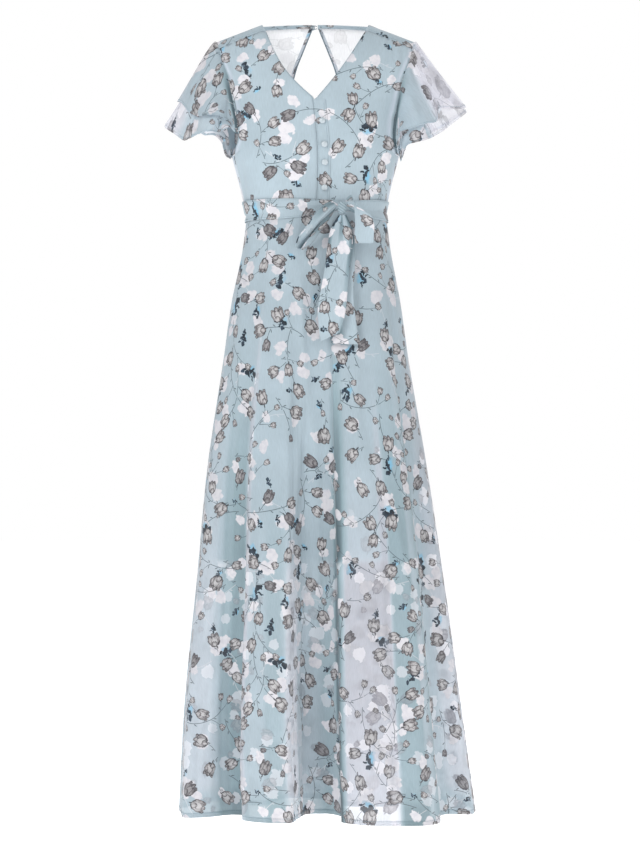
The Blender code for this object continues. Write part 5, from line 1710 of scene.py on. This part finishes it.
ribbon = {
    "rows": 84,
    "columns": 16,
    "endTurn": 5 * mm,
    "sideTurn": 4 * mm,
    "gap": 0.6 * mm,
}
knot = {
    "centre": (47.5 * mm, -113.5 * mm, -340 * mm),
    "half": (8.5 * mm, 6.0 * mm, 11.0 * mm),
    "folds": 6.0,  # slanting folds across its face
    "foldDepth": 0.2,
}


def ribbonGrid(rows):
    rows = np.array(rows, float) * mm
    middle = rows[:, :3] * [1, 1, -1]
    half = rows[:, 3:] * [1, 1, -1]
    knots = chords(middle)
    shares = np.linspace(0, 1, ribbon["rows"] + 1)
    middle = spline(shares, knots, middle)
    half = spline(shares, knots, half)
    return middle[:, None] + half[:, None] * np.linspace(-1, 1, ribbon["columns"] + 1)[None, :, None]


def addBow():
    for name, rows in bowRibbons.items():
        inside = loopMiddles.get(name, hips)
        grid = ribbonGrid(rows)
        flat = withTone(layStrip(grid), bowPaintedShading[name])
        grid = pressCreases(grid, flat, inside, bowCreases[name])
        if name not in loopMiddles:
            grid, flat = foldUnder(grid, flat, inside, "lastRow", ribbon["endTurn"], ribbon["gap"])
        grid, flat = foldUnder(grid, flat, inside, "firstColumn lastColumn", ribbon["sideTurn"], ribbon["gap"])
        addShell(name, grid, flat, inside, "ribbon" if name in loopMiddles else "doubled")
    # the knot: a band of cloth wound round the others, with slanting folds and painted shade in their troughs
    up = np.linspace(0.04, math.pi - 0.04, 30)[:, None]
    turn = np.linspace(-math.pi, math.pi, 61)[None, :]
    folds = np.abs(np.sin(knot["folds"] * (np.cos(up) * 1.1 + 0.5 * np.sin(turn)) + 0.6)) ** 0.7
    girth = np.sin(up) ** 0.6 * (1 - knot["foldDepth"] * (1 - folds) * np.sin(up))
    shape = np.stack([np.sin(turn) * girth, -np.cos(turn) * girth, np.cos(up) + 0 * turn], axis=-1)
    grid = shape * knot["half"] + knot["centre"]
    # painted shade: a darker tone where the folds dip
    flat = np.concatenate([layStrip(grid), -1.5 * (1 - folds)[..., None]], axis=-1)
    addShell("bow_knot", grid, flat, knot["centre"], "doubled", printed=False)


# ---- buttons, neckband and bindings ----

button = {
    "radius": 5.5 * mm,
    "downs": (186 * mm, 228 * mm, 259 * mm, 303 * mm),
    "stand": 2.5 * mm,
    "steps": 40,
    "smooth": 26,  # points of its smoothed profile, and of the neck button's
    "neckSmooth": 24,
    # turned profile as shares of the radius: a rim round a low dome
    "profile": [(0, 0), (0.72, 0), (0.9, 0.06), (1.0, 0.2), (0.985, 0.34), (0.9, 0.42), (0.8, 0.44),
                (0.6, 0.56), (0.3, 0.66), (0, 0.7)],
    # the neck's button, in mm
    "neckProfile": [(0, -2.2), (4.2, -2.2), (5.0, -1.2), (5.2, 0), (4.9, 1.3), (4.0, 2.1), (2.0, 2.5),
                    (0, 2.6)],
}


def turned(profile, steps, smooth):
    # closed solid turned about +Z from a smoothed profile of (radius, height)
    profile = np.array(profile, float)
    knots = chords(profile)
    fine = spline(np.linspace(0, 1, smooth), knots, profile)
    fine[:, 0] = np.maximum(fine[:, 0], 0)
    angles = np.arange(steps) * 2 * math.pi / steps
    radius, height = fine[1:-1, :1], fine[1:-1, 1:]
    rings = np.stack([radius * np.cos(angles), radius * np.sin(angles), height + 0 * angles], axis=-1)
    rings = rings.reshape(-1, 3)
    points = np.concatenate([rings, [[0, 0, fine[0, 1]], [0, 0, fine[-1, 1]]]])
    bottom = len(rings)
    faces = []
    count = len(fine) - 2
    for i in range(steps):
        after = (i + 1) % steps
        faces.append((bottom, after, i))
        faces.append((bottom + 1, (count - 1) * steps + i, (count - 1) * steps + after))
        for ring in range(count - 1):
            low = ring * steps
            faces.append((low + i, low + after, low + steps + after, low + steps + i))
    return points, faces


def addButtons():
    profile = np.array(button["profile"]) * button["radius"]
    for number, down in enumerate(button["downs"], 1):
        z = np.array([-down, -down - 1 * mm])
        x = centreFront(z) + sizes["seamGap"] + placket["width"] / 2
        spot, beside = onFront(x, z), onFront(x + 1 * mm, z)
        outward = unit(np.cross(beside[0] - spot[0], spot[0] - spot[1]))
        side = unit(np.cross((0, 0, 1), outward))
        axes = np.array([side, np.cross(outward, side), outward])
        points, faces = turned(profile, button["steps"], button["smooth"])
        name = f"button_{number}"
        addSolid(name + "_domed", points @ axes + spot[0] + outward * button["stand"], faces, "button", [name])


def bandPoint(across, height):
    low = necklineBack(across) + sizes["seamGap"]
    depth = depthOf(across, necklineBack(across), True)
    return np.stack([across, depth - 1.5 * mm * height, low + sizes["neckbandHeight"] * height], axis=-1)


def tube(path, radius, steps=10):
    # a round cord along a path, closed at both ends
    along = unit(np.gradient(path, axis=0))
    first = unit(np.cross(along, (0.31, 0.74, 0.6)))
    second = np.cross(along, first)
    angles = (np.arange(steps) * 2 * math.pi / steps)[None, :, None]
    ring = np.cos(angles) * first[:, None] + np.sin(angles) * second[:, None]
    points = (path[:, None] + radius * ring).reshape(-1, 3)
    last = len(points) - steps
    faces = [(i + j, i + (j + 1) % steps, i + steps + (j + 1) % steps, i + steps + j)
             for i in range(0, last, steps) for j in range(steps)]
    return points, [*faces, tuple(range(steps))[::-1], tuple(range(last, len(points)))]


neckTrim = {
    "ends": {"left": 4 * mm, "right": 7 * mm},  # where each half of the band ends at the middle
    "turn": 3 * mm,
    "buttonOff": (-6.0 * mm, 5.4 * mm, 0),
    "loopOff": (-2.6 * mm, 1.6 * mm, 0),
    "loopHalf": (6.0 * mm, 3.2 * mm),
    "loopRadius": 0.7 * mm,
    "bindingRadius": 1.25 * mm,
}


def addNeckTrim():
    for side, sign in sides.items():
        across = np.linspace(neckTrim["ends"][side], sizes["neckHalf"] - 1.2 * mm, 48)
        grid = np.array([bandPoint(across, np.full_like(across, h)) for h in np.linspace(0.03, 1, 7)])
        grid[..., 0] *= sign
        inside = (0, 0, -sizes["neckbandHeight"])
        grid, flat = foldUnder(grid, layFlat(grid), inside, "firstRow lastRow", neckTrim["turn"], 0.7 * mm)
        addShell("neckband_" + side, grid, flat, inside, "doubled")
    middle = bandPoint(np.array([0.0]), np.array([0.5]))[0]
    points, faces = turned(np.array(button["neckProfile"]) * mm, button["steps"], button["neckSmooth"])
    place = middle + neckTrim["buttonOff"]
    addSolid("neck_button_domed", points[:, [0, 2, 1]] + place, faces, "button", ["neck_button"])
    angles = np.radians(np.linspace(30, 330, 40))
    wide, high = neckTrim["loopHalf"]
    ring = np.stack([wide * np.cos(angles), 0 * angles, high * np.sin(angles)], axis=1)
    loop = tube(ring + middle + neckTrim["loopOff"], neckTrim["loopRadius"])
    addSolid("neck_loop_cord", *loop, "binding", ["neck_loop"])
    path = np.concatenate([keyholeSides["left"][::-1], keyholeSides["right"]])
    addSolid("keyhole_binding_fold", *tube(path, neckTrim["bindingRadius"]), "binding", ["keyhole_binding"])


# ---- camera, light and floor ----

view = {
    "height": -0.7277,
    "across": 0.00816,
    "distance": 5.0,
    "angle": 17.58,  # of the frame's long side
}
stage = {
    "floorDrop": 0.17,  # below the hem
    "floorRadius": 16,
    "floorSides": 96,
    "floorGlow": 0.6,
    "aim": (0, 0, -0.7),  # of the lamps
    "world": 0.55,  # what it lights with; it is seen as white
}
# place, power in watts, size in metres
lamps = {
    "key": ((-2.5, -3.6, 1.6), 86, 1.6),
    "fill": ((2.8, -3.4, 0.2), 38, 3.0),
    "back": ((0.6, 3.4, 1.6), 70, 3.0),
}


def addStage():
    scene = bpy.context.scene
    camera = bpy.data.cameras.new("camera")
    camera.angle = math.radians(view["angle"])
    holder = bpy.data.objects.new("camera", camera)
    holder.location = (view["across"], -view["distance"], view["height"])
    holder.rotation_euler = (math.pi / 2, 0, 0)
    scene.collection.objects.link(holder)
    scene.camera = holder
    for name, (place, power, size) in lamps.items():
        light = bpy.data.lights.new(name, "AREA")
        light.energy = power
        light.size = size
        lamp = bpy.data.objects.new(name, light)
        lamp.location = place
        lamp.rotation_euler = (Vector(stage["aim"]) - Vector(place)).to_track_quat("-Z", "Y").to_euler()
        scene.collection.objects.link(lamp)
    world = bpy.data.worlds.new("studio")
    world.use_nodes = True
    scene.world = world
    sky = world.node_tree.nodes["Background"]
    seen = addNode(world.node_tree, "LightPath")
    power = addNode(world.node_tree, "MapRange", {0: seen.outputs["Is Camera Ray"], 3: stage["world"], 4: 1.0})
    feed(world.node_tree, sky, {"Color": (1, 1, 1, 1), "Strength": power})
    mesh = bpy.data.meshes.new("floor")
    angles = np.linspace(0, 2 * math.pi, stage["floorSides"] + 1)[:-1]
    low = -sizes["hem"] - stage["floorDrop"]
    mesh.from_pydata([(*stage["floorRadius"] * towards(a), low) for a in angles], [], [range(len(angles))])
    material, add = startMaterial("paintedFloor")
    matt = add("BsdfDiffuse", {"Color": linear("#F4F4F5")})
    lit = add("Emission", {"Color": linear("#FFFFFF"), "Strength": stage["floorGlow"]})
    both = add("AddShader", [matt, lit])
    add("OutputMaterial", {"Surface": both})
    mesh.materials.append(material)
    floor = bpy.data.objects.new("floor", mesh)
    scene.collection.objects.link(floor)
    scene.view_settings.view_transform = "Standard"


print("bodice")
addBodice()
addPlacket()
addButtons()
addNeckTrim()
print("sleeves")
addSleeves()
print("skirt, belt and bow")
addSkirt()
addBelt()
addBow()
addStage()
